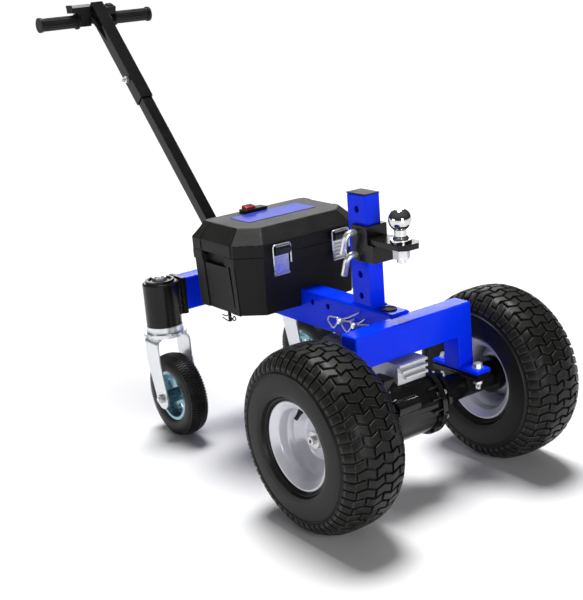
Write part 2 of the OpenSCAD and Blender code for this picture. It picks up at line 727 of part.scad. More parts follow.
// A drive rim: a drop-centre barrel with sloped flanges, and a cupped disc in its well
well_deep = 10;
well_r = bead_r - well_deep;
hub_bore_r = shaft_d/2 + pin_gap;
cup_r = 50;
cup_deep = 11;
cup_rise = 14;
cup_slope = 6;
cup_a = disc_a + cup_deep;
well_in_r = well_r - rim_t;
bead_seat_w = 16;
well_ramp = 8;
well_a = seat_a - bead_seat_w - well_ramp;
rim_half = [[well_in_r, well_a - 1], [bead_r - rim_t, seat_a - bead_seat_w + 1],
            [bead_r - 0.6*rim_t, seat_a + 0.8*rim_t], [rim_od/2 - rim_t, rim_edge], [rim_od/2, rim_edge],
            [rim_od/2, rim_edge - rim_t], [bead_r, seat_a], [bead_r, seat_a - bead_seat_w], [well_r, well_a]];
module drive_rim(s) color(SILVER) placed() translate([0, s*track/2, axle_z]) sided(s) {
    wheel_turn() polygon(concat(rim_half, [for (i = [len(rim_half) - 1:-1:0]) [rim_half[i].x,
                                                                               -rim_half[i].y]]));
    wheel_turn() polygon([[well_in_r + 1, cup_a + cup_rise], [cup_r, cup_a],
                          [cup_r - cup_slope, disc_a + disc_t],
                          [hub_bore_r, disc_a + disc_t], [hub_bore_r, disc_a],
                              [cup_r - cup_slope - 2, disc_a],
                          [cup_r - 2, cup_a - disc_t], [well_in_r + 1, cup_a + cup_rise - disc_t]]);
}
module drive_rim_right() drive_rim(-1);
module drive_rim_left() drive_rim(1);

// A drive hub: the half-shaft, its flange, and the wheel's washer and nut on a hollow stud
shaft_inner_y = 70;
hub_flange_d = 76;
stud_d = 17;
stud_hole_d = 8;
nut_across = 33;
wheel_nut_t = 13;
washer_d = 42;
washer_t = 3;
stud_stick = 8;
module drive_hub(s) color(GREY) placed() translate([0, 0, axle_z]) sided(s) {
    along_y(shaft_d, shaft_inner_y, disc_y + disc_t);
    along_y(hub_flange_d, hub_flange_y, disc_y - seat_gap);
    translate([0, disc_y + disc_t, 0]) {
        difference() {
            along_y(stud_d, -eps, washer_t + wheel_nut_t + stud_stick);
            along_y(stud_hole_d, washer_t + wheel_nut_t, washer_t + wheel_nut_t + stud_stick + 1);
        }
        along_y(washer_d, seat_gap, washer_t);
        translate([0, washer_t - eps, 0]) rotate([-90, 0, 0])
            cylinder(d = nut_across/cos(30), h = wheel_nut_t, $fn = 6);
    }
}
module drive_hub_right() drive_hub(-1);
module drive_hub_left() drive_hub(1);

// A caster tyre with three rings of small blocks
caster_rim_r = 58;
caster_rim_w = 40;
caster_lip = 6;
caster_power = 2.4;
caster_bead_in = 4;
caster_bead_w = caster_rim_w - 2*caster_bead_in;
caster_tread_edge = 6;
caster_tread_half = caster_w/2 - caster_tread_edge;
caster_rings = 3;
caster_rows = 30;
caster_depth = 2.5;
caster_groove = 2.5;
module caster_tyre(s) color(RUBBER) placed() translate([crossbar_x + caster_trail, s*caster_y, caster_r]) {
    bead = caster_rim_r + seat_gap;
    wheel_turn() polygon(tyre_section(bead, bead + caster_lip, caster_r, caster_bead_w, caster_bead_w,
                                      caster_w, caster_power, caster_depth));
    tread(bead, caster_r, caster_w, caster_power, caster_tread_half, caster_rings, caster_rows,
          caster_depth, caster_groove);
}
module caster_tyre_right() caster_tyre(-1);
module caster_tyre_left() caster_tyre(1);

// A caster rim: a flanged barrel, a dished web with round openings, and a long hub
rim_sheet = 5;
lip_t = 3;
web_hole_count = 5;
web_hole_d = 25;
web_hole_r = 36;
web_t = 6;
caster_hub_d = 34;
caster_hub_gap = 1;
module caster_rim(s) color(SILVER) placed() translate([crossbar_x + caster_trail, s*caster_y, caster_r])
    difference() {
    union() {
        wheel_turn() polygon([
            [caster_rim_r + caster_lip, caster_rim_w/2], [caster_rim_r + caster_lip, caster_rim_w/2 - lip_t],
            [caster_rim_r, caster_rim_w/2 - lip_t], [caster_rim_r, -caster_rim_w/2 + lip_t],
            [caster_rim_r + caster_lip, -caster_rim_w/2 + lip_t],
                [caster_rim_r + caster_lip, -caster_rim_w/2],
            [caster_rim_r - rim_sheet, -caster_rim_w/2], [caster_rim_r - rim_sheet, caster_rim_w/2]]);
        along_y(caster_hub_d, -fork_gap + caster_hub_gap, fork_gap - caster_hub_gap);
        along_y(2*(caster_rim_r - 1), -web_t/2, web_t/2);
    }
    along_y(caster_axle_d + 2*run_gap, -fork_gap - 1, fork_gap + 1);
    for (i = [0:web_hole_count - 1]) rotate([0, i*360/web_hole_count, 0]) translate([web_hole_r, 0, 0])
        along_y(web_hole_d, -web_t, web_t);
}
module caster_rim_right() caster_rim(-1);
module caster_rim_left() caster_rim(1);

// How much of a margin a cut corner takes up, so that the eight sides all move out evenly
corner_part = 2 - sqrt(2);
case_mid = (case_front + case_rear)/2;
function corner_reach(m, cut) = (case_d/2 + case_l/2 + 2*m - cut - corner_part*m)/sqrt(2);
rear_extra = (case_cut - rear_cut)/sqrt(2);

// The case's plan, with its upright corners cut and a margin all round
module case_plan(margin) {
    x = case_d/2 + margin;
    y = case_l/2 + margin;
    c = case_cut + margin*corner_part;
    r = rear_cut + margin*corner_part;
    translate([case_mid, 0]) polygon([[-x, -y + r], [-x + r, -y], [x - c, -y], [x, -y + c],
                                      [x, y - c], [x - c, y], [-x + r, y], [-x, y - r]]);
}

// A slab across the case at an angle, with ends that slope from the reach r1 at z1 to r2 at z2,
// and a rear end that lies further out by extra
module slope_slab(angle, r1, z1, r2, z2, extra = 0) translate([case_mid, 0, 0]) rotate([0, 0, angle]) rotate([90, 0, 0])
    linear_extrude(2*(case_l + case_d), center = true)
    polygon([[-r1 - extra, z1], [r1, z1], [r2, z2], [-r2 - extra, z2]]);

// The case's form with draft: its margin goes from m1 at z1 to m2 at z2
module case_form(m1, z1, m2, z2) intersection() {
    slope_slab(0, case_d/2 + m1, z1, case_d/2 + m2, z2);
    slope_slab(90, case_l/2 + m1, z1, case_l/2 + m2, z2);
    for (angle = [-45, 45])
        slope_slab(angle, corner_reach(m1, case_cut), z1, corner_reach(m2, case_cut), z2, rear_extra);
}

// The battery case, with a tunnel under it for the spine, and raised bands and a hand pocket at its ends
tunnel_gap = 0.5;
case_band = 22;
case_draft = 7;
end_band_w = 34;
end_band_t = 3;
pocket_h = 28;
pocket_d = 12;
groove_w = 7;
groove_gap = 9;
pocket_x = [case_rear + rear_cut + end_band_w, case_front - case_cut - end_band_w];
knuckle_w = 8;
knuckle_y = 16;
hinge_pin_d = 5;
hinge_leaf = [14, 3];
hinge_foot = 6;
groove_deep = 1.5;
groove_up = 12;
module end_bands(s) intersection() {
    case_form(end_band_t - case_draft, case_bottom, end_band_t, seam_z);
    sided(s) for (x = [[case_rear, pocket_x[0]], [pocket_x[1], case_front]])
        block([x[0], case_l/2 - 2*case_draft, case_bottom],
              [x[1], case_l, seam_z - case_band/2]);
}
module end_cuts(s) sided(s) {
    block([pocket_x[0], case_l/2 - pocket_d, seam_z - pocket_h], [pocket_x[1], case_l, seam_z + 1]);
    translate([pocket_x[1] + groove_gap, case_l/2 - groove_deep, 0]) rotate([-90, 0, 0])
        linear_extrude(case_l)
        polygon([[0, -seam_z + case_band], [groove_w, -seam_z + case_band],
                 [0.7*groove_w, -case_bottom - groove_up]]);
}
module battery_case() color(BLACK) placed() {
    difference() {
        union() {
            case_form(-case_draft, case_bottom, 0, seam_z);
            translate([0, 0, seam_z - case_band]) linear_extrude(case_band) case_plan(lid_lap);
            for (s = [-1, 1]) end_bands(s);
        }
        difference() {
            case_form(-case_draft - case_wall, case_bottom + case_wall, -case_wall, seam_z + 1);
            block([case_rear - 1, -spine_w/2 - tunnel_gap - case_wall, case_bottom],
                  [case_front + 1, spine_w/2 + tunnel_gap + case_wall, spine_top + case_wall]);
            for (s = [-1, 1]) sided(s)
                block([pocket_x[0] - case_wall, case_l/2 - pocket_d - case_wall,
                       seam_z - pocket_h - case_wall],
                      [pocket_x[1] + case_wall, case_l, seam_z + 2]);
        }
        block([case_rear - 1, -spine_w/2 - tunnel_gap, case_bottom - 1],
              [case_front + 1, spine_w/2 + tunnel_gap, spine_top]);
        for (s = [-1, 1]) end_cuts(s);
    }
    for (s = [-1, 1]) translate([0, s*hinge_y, 0]) {
        for (t = [-1, 1]) translate([0, t*knuckle_y, 0]) {
            block([hinge_x - hinge_r, -knuckle_w/2, seam_z - hinge_leaf[0]],
                  [case_rear - lid_lap + eps, knuckle_w/2, seam_z - hinge_leaf[1]]);
            block([hinge_x - hinge_r, -knuckle_w/2, seam_z - hinge_foot],
                  [hinge_x + hinge_r, knuckle_w/2, hinge_z]);
            translate([hinge_x, 0, hinge_z]) along_y(2*hinge_r, -knuckle_w/2, knuckle_w/2);
        }
        translate([hinge_x, 0, hinge_z]) along_y(hinge_pin_d, -knuckle_y - knuckle_w/2,
                                                 knuckle_y + knuckle_w/2);
    }
}

// The two batteries, one on each side of the tunnel
battery_size = [181, 77, 167];
battery_back = 4;
battery_in = 14;
module battery_pack() color(GREY) placed() for (s = [-1, 1])
    translate([case_mid - battery_back, s*(spine_w/2 + battery_in + battery_size.y/2),
               case_bottom + case_wall])
        translate([-battery_size.x/2, -battery_size.y/2, 0]) cube(battery_size);

// The lid's outer form: an upright band under four sloped sides and four sloped corners
rear_lean = 0.4;
module lid_form(margin, low, high) {
    x1 = case_rear - margin;
    x2 = case_front + margin;
    y = case_l/2 + margin;
    rise = high - (seam_z + lid_band);
    intersection() {
        translate([0, 0, low]) linear_extrude(high - low) case_plan(margin);
        rotate([90, 0, 0]) translate([0, 0, -y - 1]) linear_extrude(2*y + 2)
            polygon([[x1, low], [x2, low], [x2, high - rise], [x2 - rise, high],
                     [x1 + rise*rear_lean, high], [x1, high - rise]]);
        rotate([90, 0, 90]) translate([0, 0, x1 - 1]) linear_extrude(x2 - x1 + 2)
            polygon([[-y, low], [y, low], [y, high - rise], [y - rise, high], [-y + rise, high],
                     [-y, high - rise]]);
        for (s = [-1, 1]) lid_corner_slope(s, low, high, rise, corner_reach(margin, case_cut));
    }
}
// A slab across two opposite corners of the lid, upright below and sloped above
module lid_corner_slope(s, low, high, rise, reach) translate([case_mid, 0, 0]) rotate([0, 0, s*45])
    rotate([90, 0, 0])
    linear_extrude(2*(case_l + case_d), center = true)
        polygon([[-reach - rear_extra, low], [reach, low], [reach, high - rise], [reach - rise, high],
                 [-reach - rear_extra + rise, high], [-reach - rear_extra, high - rise]]);

// The lid: a hollow shell with its hinge knuckles
knuckle_gap = 0.5;
lid_knuckle = knuckle_y - knuckle_w/2 - knuckle_gap;
module box_lid() color(BLACK) placed() {
    difference() {
        lid_form(lid_lap, seam_z + lid_gap, seam_z + lid_h);
        lid_form(lid_lap - case_wall, seam_z - 1, seam_z + lid_h - case_wall);
    }
    for (s = [-1, 1]) translate([0, s*hinge_y, 0]) difference() {
        union() {
            translate([hinge_x, 0, hinge_z]) along_y(2*hinge_r, -lid_knuckle, lid_knuckle);
            block([hinge_x, -lid_knuckle, seam_z + lid_gap],
                  [case_rear - lid_lap + eps, lid_knuckle, hinge_z + hinge_r]);
        }
        translate([hinge_x, 0, hinge_z]) along_y(hinge_pin_d + 2*run_gap, -knuckle_y, knuckle_y);
    }
}

// The plain panel on the lid
lid_top = seam_z + lid_h;
label_back = 88;
label_d = 76;
label_l = 190;
label_t = 1;
module lid_label() color(BLUE) placed() block([case_front - label_back - label_d, -label_l/2, lid_top],
                                             [case_front - label_back, label_l/2, lid_top + label_t]);

// The power switch at the lid's rear
switch_ahead = 36;
switch_right = 18;
switch_half = [14, 31];
switch_h = 9;
rocker_half = 11;
rocker_y = [-26, 2];
rocker_z = [-2, 8];
rocker_tilt = 8;
module power_switch() placed() translate([case_rear + switch_ahead, -switch_right, lid_top]) {
    color(BLACK) block([-switch_half.x, -switch_half.y, 0], [switch_half.x, switch_half.y, switch_h]);
    color("red") translate([0, 0, switch_h]) rotate([0, rocker_tilt, 0])
        block([-rocker_half, rocker_y[0], rocker_z[0]], [rocker_half, rocker_y[1], rocker_z[1]]);
}

// The latch levers on the case's front: louvred plates with a rolled lower edge
latch_y = 82;
lever_w = 39;
lever_h = 44;
lever_t = 5;
lever_roll = 6;
louvre_count = 3;
louvre_h = 4;
louvre_pitch = 9;
louvre_edge = 6;
louvre_deep = 2;
module latch_levers() color(SILVER) placed() for (s = [-1, 1])
    translate([case_front + lid_lap, s*latch_y, seam_z]) {
    difference() {
        block([0, -lever_w/2, -lever_h], [lever_t, lever_w/2, -1]);
        for (i = [0:louvre_count - 1]) translate([0, 0, -louvre_edge - louvre_h - i*louvre_pitch])
            block([lever_t - louvre_deep, -lever_w/2 + louvre_edge, 0],
                  [lever_t + 1, lever_w/2 - louvre_edge, louvre_h]);
    }
    translate([lever_t - 1, 0, -lever_h]) along_y(lever_roll, -lever_w/2, lever_w/2);
}

// The catches on the lid, each a roll with a wire bail hooked over it
bail_d = 3.5;
bail_gap = 2;
catch_d = 18;
catch_up = 12;
catch_out = catch_d/2;
catch_in = 4;
bail_lap = 0.3;
bail_y = lever_w/2 + bail_gap + bail_d/2;
bail_up = catch_up + catch_d/2 + bail_d/2 - bail_lap;
bail_down = 20;
module latch_bails() color(SILVER) placed() for (s = [-1, 1])
    translate([case_front + lid_lap, s*latch_y, seam_z]) {
    translate([catch_out, 0, catch_up]) along_y(catch_d, -lever_w/2, lever_w/2);
    block([0, -lever_w/2 + catch_in, catch_up - catch_d/3],
          [catch_out, lever_w/2 - catch_in, catch_up + catch_d/3]);
    translate([catch_out, 0, bail_up]) along_y(bail_d, -bail_y, bail_y);
    for (t = [-1, 1]) translate([catch_out, t*bail_y, -bail_down])
        cylinder(d = bail_d - bail_lap/3, h = bail_up + bail_down);
}

// The socket on the crossbar for the handle
socket_wall = 4;
socket_side = inner_side + 2*socket_wall;
socket_l = 78;
handle_foot = 60;
handle_wall = 2.5;
// All that lies above the crossbar, where the handle's slanted foot is cut level
module above_crossbar() block([handle_x - inner_l, -socket_side, spine_top],
                              [handle_x + inner_l, socket_side, spine_top + inner_l]);
module handle_socket() color(BLACK) placed() intersection() {
    on_handle(-handle_foot) difference() {
        translate([-socket_side/2, -socket_side/2, 0])
            cube([socket_side, socket_side, socket_l + handle_foot]);
        translate([-inner_side/2 - seat_gap, -inner_side/2 - seat_gap, -1])
            cube([inner_side + 2*seat_gap, inner_side + 2*seat_gap, socket_l + handle_foot + 2]);
    }
    above_crossbar();
}

// The inner handle tube
module handle_tube() color(BLACK) placed() intersection() {
    on_handle(-handle_foot) difference() {
        translate([-inner_side/2, -inner_side/2, 0]) cube([inner_side, inner_side, inner_l + handle_foot]);
        translate([-inner_side/2 + handle_wall, -inner_side/2 + handle_wall, -1])
            cube([inner_side - 2*handle_wall, inner_side - 2*handle_wall, inner_l + handle_foot + 2]);
    }
    above_crossbar();
}

// The outer handle sleeve with its closed top and a rib on each side below the grip bar
sleeve_gap = 0.5;
sleeve_top_t = 3;
rib_l = 86;
rib_out = 12;
rib_start = 16;
side_rib_t = 4;
rib_edge = 6;
module handle_sleeve() color(BLACK) placed() {
    on_handle(sleeve_start) difference() {
        translate([-sleeve_side/2, -sleeve_side/2, 0]) cube([sleeve_side, sleeve_side, sleeve_l]);
        translate([-inner_side/2 - sleeve_gap, -inner_side/2 - sleeve_gap, -1])
            cube([inner_side + 2*sleeve_gap, inner_side + 2*sleeve_gap, sleeve_l + 1 - sleeve_top_t]);
    }
    for (s = [-1, 1]) sided(s) on_handle(bar_along - rib_start)
        translate([-side_rib_t, sleeve_side/2 - eps, 0])
        rotate([90, 0, 90]) linear_extrude(side_rib_t) polygon([[0, 0], [rib_out, 0],
                                                                [rib_out, -rib_edge], [0, -rib_l]]);
}

// The clamp bolt on the sleeve's side
clamp_up = 73;
clamp_nut_d = 20;
clamp_nut_t = 8;
clamp_stud_d = 10;
module sleeve_bolt() color(SILVER) placed() on_handle(sleeve_start + clamp_up)
    translate([0, -sleeve_side/2, 0]) {
    rotate([90, 0, 0]) cylinder(d = clamp_nut_d, h = clamp_nut_t, $fn = 6);
    along_y(clamp_stud_d, -2*clamp_nut_t, 0);
}

// The grip bar welded across the sleeve
module handle_bar() color(BLACK) placed() translate([bar_x, 0, bar_z])
    along_y(bar_d, -bar_l/2 + end_wall, bar_l/2 - end_wall);

// A fluted grip with a lip at its inner end and a roll at its outer end
flute_count = 14;
flute_d = 5;
lip_w = 5;
roll_w = 7;
end_wall = 3;
flute_end = 3;
flute_out = 1;
module grip(s) color(RUBBER) placed() translate([bar_x, 0, bar_z]) sided(s) difference() {
    union() {
        along_y(grip_d, grip_in, bar_l/2);
        along_y(grip_lip_d, grip_in, grip_in + lip_w);
        along_y(grip_d + lip_w, bar_l/2 - roll_w, bar_l/2);
    }
    along_y(bar_d + 2*seat_gap, grip_in - 1, bar_l/2 - end_wall + seat_gap);
    for (i = [0:flute_count - 1]) rotate([0, i*360/flute_count, 0]) translate([grip_d/2 + flute_out, 0, 0])
        along_y(flute_d, grip_in + lip_w + flute_end, bar_l/2 - roll_w - flute_end);
}
module grip_right() grip(-1);
module grip_left() grip(1);

// The speed box: a clamp on the grip bar under a longer head with a cover
control_wall = 4;
control_low = bar_d/2 + control_wall;
speed_box_half = 17;
speed_head_l = 52;
speed_head_low = grip_lip_d/2 + 1;
speed_head_h = 14;
cover_h = 8;
cover_out = 2;
module speed_box() color(BLACK) placed() translate([bar_x, -sleeve_side/2 - control_gap, bar_z])
    difference() {
    union() {
        block([-speed_box_half, -speed_box_w, -control_low], [speed_box_half, 0, speed_head_low + 1]);
        translate([0, 0, speed_head_low]) {
            block([-speed_box_half, -speed_head_l, 0], [speed_box_half, 0, speed_head_h]);
            block([-speed_box_half - cover_out, -speed_head_l, speed_head_h - eps],
                  [speed_box_half + cover_out, 0, speed_head_h + cover_h]);
        }
    }
    along_y(bar_d + 2*seat_gap, -speed_box_w - 1, 1);
}

// The thumb switch: a tilted block on a clamp ring
thumb_switch_h = 28;
thumb_half = 14;
thumb_tilt = 38;
thumb_button = 16;
button_h = 5;
clamp_ring_d = 40;
clamp_ring_w = 10;
module thumb_switch() color(BLACK) placed() translate([bar_x, sleeve_side/2 + control_gap, bar_z])
    difference() {
    union() {
        rotate([0, thumb_tilt, 0]) {
            block([-thumb_half, 0, -control_low], [thumb_half, thumb_switch_w, thumb_switch_h]);
            translate([0, thumb_switch_w/2, thumb_switch_h - eps])
                block([-thumb_button/2, -thumb_button/2, 0], [thumb_button/2, thumb_button/2, button_h]);
        }
        along_y(clamp_ring_d, thumb_switch_w - clamp_ring_w, thumb_switch_w);
    }
    along_y(bar_d + 2*seat_gap, -1, thumb_switch_w + 1);
}

spine();
front_beam();
spine_plug();
spine_pins();
frame_pin();
hitch_post();
post_cap();
ball_mount();
hitch_ball();
ball_nut();
hitch_pins();
transaxle();
foot_bolts();
motor_bell();
drive_motor();
rear_crossbar();
caster_housing_right();
caster_housing_left();
handle_socket();
handle_tube();
battery_case();
battery_pack();
latch_levers();
box_lid();
lid_label();
power_switch();
latch_bails();
handle_sleeve();
handle_bar();
grip_right();
grip_left();
speed_box();
thumb_switch();
sleeve_bolt();
drive_tyre_right();
drive_tyre_left();
drive_rim_right();
drive_rim_left();
drive_hub_right();
drive_hub_left();
caster_fork_right();
caster_fork_left();
caster_axle_right();
caster_axle_left();
caster_tyre_right();
caster_tyre_left();
caster_rim_right();
caster_rim_left();
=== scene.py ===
# %% [markdown]
# # Dressing an electric trailer dolly
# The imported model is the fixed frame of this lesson: every tube, wheel and pin already has its
# size and its place. The script gives those solids their looks. Each step first says what the
# real piece or finish is, how it could be made, and why this way was chosen.

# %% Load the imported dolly
import json
import math
import random

import bmesh
import bpy
from mathutils import Matrix, Vector


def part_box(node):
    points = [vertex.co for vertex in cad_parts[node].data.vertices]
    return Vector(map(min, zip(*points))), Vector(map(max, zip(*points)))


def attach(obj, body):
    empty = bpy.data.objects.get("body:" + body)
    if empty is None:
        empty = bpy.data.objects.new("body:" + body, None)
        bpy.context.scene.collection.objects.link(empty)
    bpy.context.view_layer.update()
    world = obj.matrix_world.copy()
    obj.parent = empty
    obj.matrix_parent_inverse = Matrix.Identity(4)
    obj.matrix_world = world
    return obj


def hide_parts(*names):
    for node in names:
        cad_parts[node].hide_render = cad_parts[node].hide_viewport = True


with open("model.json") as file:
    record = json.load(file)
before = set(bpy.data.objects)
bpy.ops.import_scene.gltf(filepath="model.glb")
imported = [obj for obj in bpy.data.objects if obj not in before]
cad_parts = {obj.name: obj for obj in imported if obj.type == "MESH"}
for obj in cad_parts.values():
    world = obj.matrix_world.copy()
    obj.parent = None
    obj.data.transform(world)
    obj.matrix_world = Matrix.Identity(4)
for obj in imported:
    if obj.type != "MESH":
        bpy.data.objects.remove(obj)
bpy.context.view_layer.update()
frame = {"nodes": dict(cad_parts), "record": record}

MM = 0.001
BODIES = frame["record"]["behaviour"]["bodies"]
BODY_OF = {node: body for body, nodes in BODIES.items() for node in nodes}
SLOT_OF = {part["node"]: part["material_slot"] for part in frame["record"]["subparts"]}
SIDES = {"right": -1, "left": 1}


def middle(node):
    """The middle of a node's box."""
    low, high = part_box(node)
    return (low + high) / 2


AXLE_X = middle("drive_rim_right").x


def at(x, y, z):
    """A place in millimetres from the point on the ground under the drive axle."""
    return Vector((AXLE_X + x * MM, y * MM, z * MM))


def mm(*values):
    """A vector from values in millimetres."""
    return Vector([value * MM for value in values])


# %% [markdown]
# ## The camera
# The photograph looks down on the hitch from the front right, a little tilted. A camera can be
# placed by hand, but these values were solved from points on the wheels, the post and the
# casters, so a real size in the frame lands on the right pixel. Only the long side of the frame
# sets the lens, because Blender's automatic sensor fit works that way.

# %% The camera
VIEW_AZIMUTH = math.radians(54.54)
VIEW_ELEVATION = math.radians(16.76)
VIEW_ROLL = math.radians(-4.59)
VIEW_AIM = Vector((0.11445, 0.0, 0.33222))
VIEW_DISTANCE = 2.684
FOCAL_PIXELS = 1157.0
LONG_SIDE_PIXELS = 600
SENSOR_MM = 36.0

view_back = Vector((math.sin(VIEW_AZIMUTH) * math.cos(VIEW_ELEVATION),
                    -math.cos(VIEW_AZIMUTH) * math.cos(VIEW_ELEVATION), math.sin(VIEW_ELEVATION)))
level_right = Vector((math.cos(VIEW_AZIMUTH), math.sin(VIEW_AZIMUTH), 0))
level_up = view_back.cross(level_right)
view_right = level_right * math.cos(VIEW_ROLL) + level_up * math.sin(VIEW_ROLL)
view_up = level_up * math.cos(VIEW_ROLL) - level_right * math.sin(VIEW_ROLL)

camera = bpy.data.objects.new("camera", bpy.data.cameras.new("camera"))
bpy.context.scene.collection.objects.link(camera)
camera.data.sensor_width = SENSOR_MM
camera.data.lens = FOCAL_PIXELS / LONG_SIDE_PIXELS * SENSOR_MM
camera.matrix_world = Matrix.Translation(VIEW_AIM + view_back * VIEW_DISTANCE) @ Matrix(
    (view_right, view_up, view_back)).transposed().to_4x4()
bpy.context.scene.camera = camera
print("Lens:", round(camera.data.lens, 1), "mm")

# %% [markdown]
# ## The studio
# A catalogue picture is made on white paper under a wide soft ceiling. The ceiling could be one
# huge lamp, but a sun with a wide angle lights the whole sheet evenly and still leaves soft
# shadows under the wheels. The sheet is pale grey and lit until it looks white, which keeps those
# shadows deep. The room itself is dim at eye level and a little brighter overhead, so that black
# paint stays black and only the three lamps draw lines on it. The standard view transform keeps
# the blue as strong as it is in print.

# %% The studio: room and floor
scene = bpy.context.scene
scene.view_settings.view_transform = "Standard"
scene.view_settings.look = "None"
world = bpy.data.worlds.new("dim room with a bright ceiling")
scene.world = world
world.use_nodes = True
room = world.node_tree
ROOM_SIDE = 0.04
ROOM_CEILING = 0.12
DIM_BELOW = 0.25
BRIGHT_ABOVE = 0.9
RANGE_LABELS = ("From Min", "From Max", "To Min", "To Max")
direction = room.nodes.new("ShaderNodeSeparateXYZ")
room.links.new(room.nodes.new("ShaderNodeTexCoord").outputs["Generated"], direction.inputs["Vector"])
height = room.nodes.new("ShaderNodeMapRange")
for label, value in zip(RANGE_LABELS, (DIM_BELOW, BRIGHT_ABOVE, ROOM_SIDE, ROOM_CEILING)):
    height.inputs[label].default_value = value
room.links.new(direction.outputs["Z"], height.inputs["Value"])
room.nodes["Background"].inputs["Color"].default_value = (1, 1, 1, 1)
room.links.new(height.outputs["Result"], room.nodes["Background"].inputs["Strength"])

FLOOR_HALF = 450.0
PALE_PAPER = (0.70, 0.70, 0.705, 1)
PAPER_ROUGHNESS = 0.9
floor_mesh = bpy.data.meshes.new("floor")
floor_corners = [(x * FLOOR_HALF, y * FLOOR_HALF, 0) for x, y in ((-1, -1), (1, -1), (1, 1), (-1, 1))]
floor_mesh.from_pydata(floor_corners, [], [(0, 1, 2, 3)])
floor = bpy.data.objects.new("floor", floor_mesh)
scene.collection.objects.link(floor)
floor_paper = bpy.data.materials.new("floor paper")
floor_paper.use_nodes = True
paper = floor_paper.node_tree.nodes["Principled BSDF"].inputs
paper["Base Color"].default_value = PALE_PAPER
paper["Roughness"].default_value = PAPER_ROUGHNESS
paper["Specular IOR Level"].default_value = 0.0
floor_mesh.materials.append(floor_paper)


# %% The studio: lamps
SUN_PLACE = (-0.62, 0.44, 2.8)
SUN_STRENGTH = 4.5
SUN_ANGLE = math.radians(24)
# Name, place, aim, width, height and power in watts
SOFT_LIGHTS = (("key", (2.8, -0.7, 0.85), (0.2, 0, 0.35), 0.7, 1.1, 24),
               ("side", (-0.5, -3.2, 0.9), (0.0, 0, 0.4), 1.5, 0.7, 10),
               ("back", (-2.5, 1.8, 1.45), (0.0, 0, 0.5), 2.6, 0.5, 22))


def add_lamp(name, kind, place, aim, power):
    """A lamp at place that points at aim."""
    data = bpy.data.lights.new(name, kind)
    data.energy = power
    lamp = bpy.data.objects.new(name, data)
    scene.collection.objects.link(lamp)
    lamp.location = place
    lamp.rotation_euler = (Vector(aim) - Vector(place)).to_track_quat("-Z", "Y").to_euler()
    return data


def soft_light(name, place, aim, width, height, power):
    """A rectangular soft light."""
    data = add_lamp(name, "AREA", place, aim, power)
    data.shape = "RECTANGLE"
    data.size, data.size_y = width, height


ceiling = add_lamp("ceiling", "SUN", SUN_PLACE, (0, 0, 0), SUN_STRENGTH)
ceiling.angle = SUN_ANGLE
for light in SOFT_LIGHTS:
    soft_light(*light)

# %% [markdown]
# ## Effects that several finishes share
# Paint, plastic, rubber and plated steel differ in colour, but their small-scale detail comes
# from the same few effects: a fine grain, a slow mottling, brushed lines, dust that has settled
# on what faces up, and edges that are rubbed a little brighter and carry a painted highlight.
# Each effect is a node group with named sockets, built once and placed in each material with its
# own values. The groups only put out values; the shader itself stays in the material.

# %% Making a node group
def new_group(name, inputs, output_names):
    """An empty shader group with float inputs (name to default) and float outputs."""
    group = bpy.data.node_groups.new(name, "ShaderNodeTree")
    for label, value in inputs.items():
        socket = group.interface.new_socket(label, in_out="INPUT", socket_type="NodeSocketFloat")
        socket.default_value = value
    for label in output_names:
        group.interface.new_socket(label, in_out="OUTPUT", socket_type="NodeSocketFloat")
    return group, group.nodes.new("NodeGroupInput"), group.nodes.new("NodeGroupOutput")


def add_math(tree, operation, first, second):
    """A Math node; each operand is a socket or a number."""
    node = tree.nodes.new("ShaderNodeMath")
    node.operation = operation
    for slot, value in zip(node.inputs, (first, second)):
        if isinstance(value, (int, float)):
            slot.default_value = value
        else:
            tree.links.new(value, slot)
    return node.outputs["Value"]


def add_range(tree, value, low, high, to_low=0.0, to_high=1.0):
    """A Map Range node from low..high to to_low..to_high, clamped."""
    node = tree.nodes.new("ShaderNodeMapRange")
    tree.links.new(value, node.inputs["Value"])
    for label, number in zip(RANGE_LABELS, (low, high, to_low, to_high)):
        if isinstance(number, (int, float)):
            node.inputs[label].default_value = number
        else:
            tree.links.new(number, node.inputs[label])
    return node.outputs["Result"]


def add_noise(tree, scale, detail=2.0, stretch=None):
    """A Noise texture in the piece's own space; stretch squeezes it along each axis."""
    place = tree.nodes.new("ShaderNodeTexCoord").outputs["Object"]
    if stretch:
        mapping = tree.nodes.new("ShaderNodeMapping")
        mapping.inputs["Scale"].default_value = stretch
        tree.links.new(place, mapping.inputs["Vector"])
        place = mapping.outputs["Vector"]
    noise = tree.nodes.new("ShaderNodeTexNoise")
    tree.links.new(place, noise.inputs["Vector"])
    noise.inputs["Detail"].default_value = detail
    if isinstance(scale, (int, float)):
        noise.inputs["Scale"].default_value = scale
    else:
        tree.links.new(scale, noise.inputs["Scale"])
    return noise.outputs["Fac"]


# %% The grain and mottling groups
FINE_SHARE, COARSE_SHARE = 0.6, 0.4
COARSE_SCALE = 0.35


def make_grain():
    """Fine grain: a height for bump and a tone for small changes of colour and gloss."""
    group, inlet, outlet = new_group("fine grain", {"Scale": 900.0}, ("Height", "Tone"))
    fine = add_noise(group, inlet.outputs["Scale"], 3.0)
    wider = add_math(group, "MULTIPLY", inlet.outputs["Scale"], COARSE_SCALE)
    coarse = add_noise(group, wider, 2.0)
    both = add_math(group, "ADD", add_math(group, "MULTIPLY", fine, FINE_SHARE),
                    add_math(group, "MULTIPLY", coarse, COARSE_SHARE))
    group.links.new(add_range(group, both, 0.3, 0.7), outlet.inputs["Height"])
    group.links.new(add_range(group, coarse, 0.25, 0.75), outlet.inputs["Tone"])
    return group


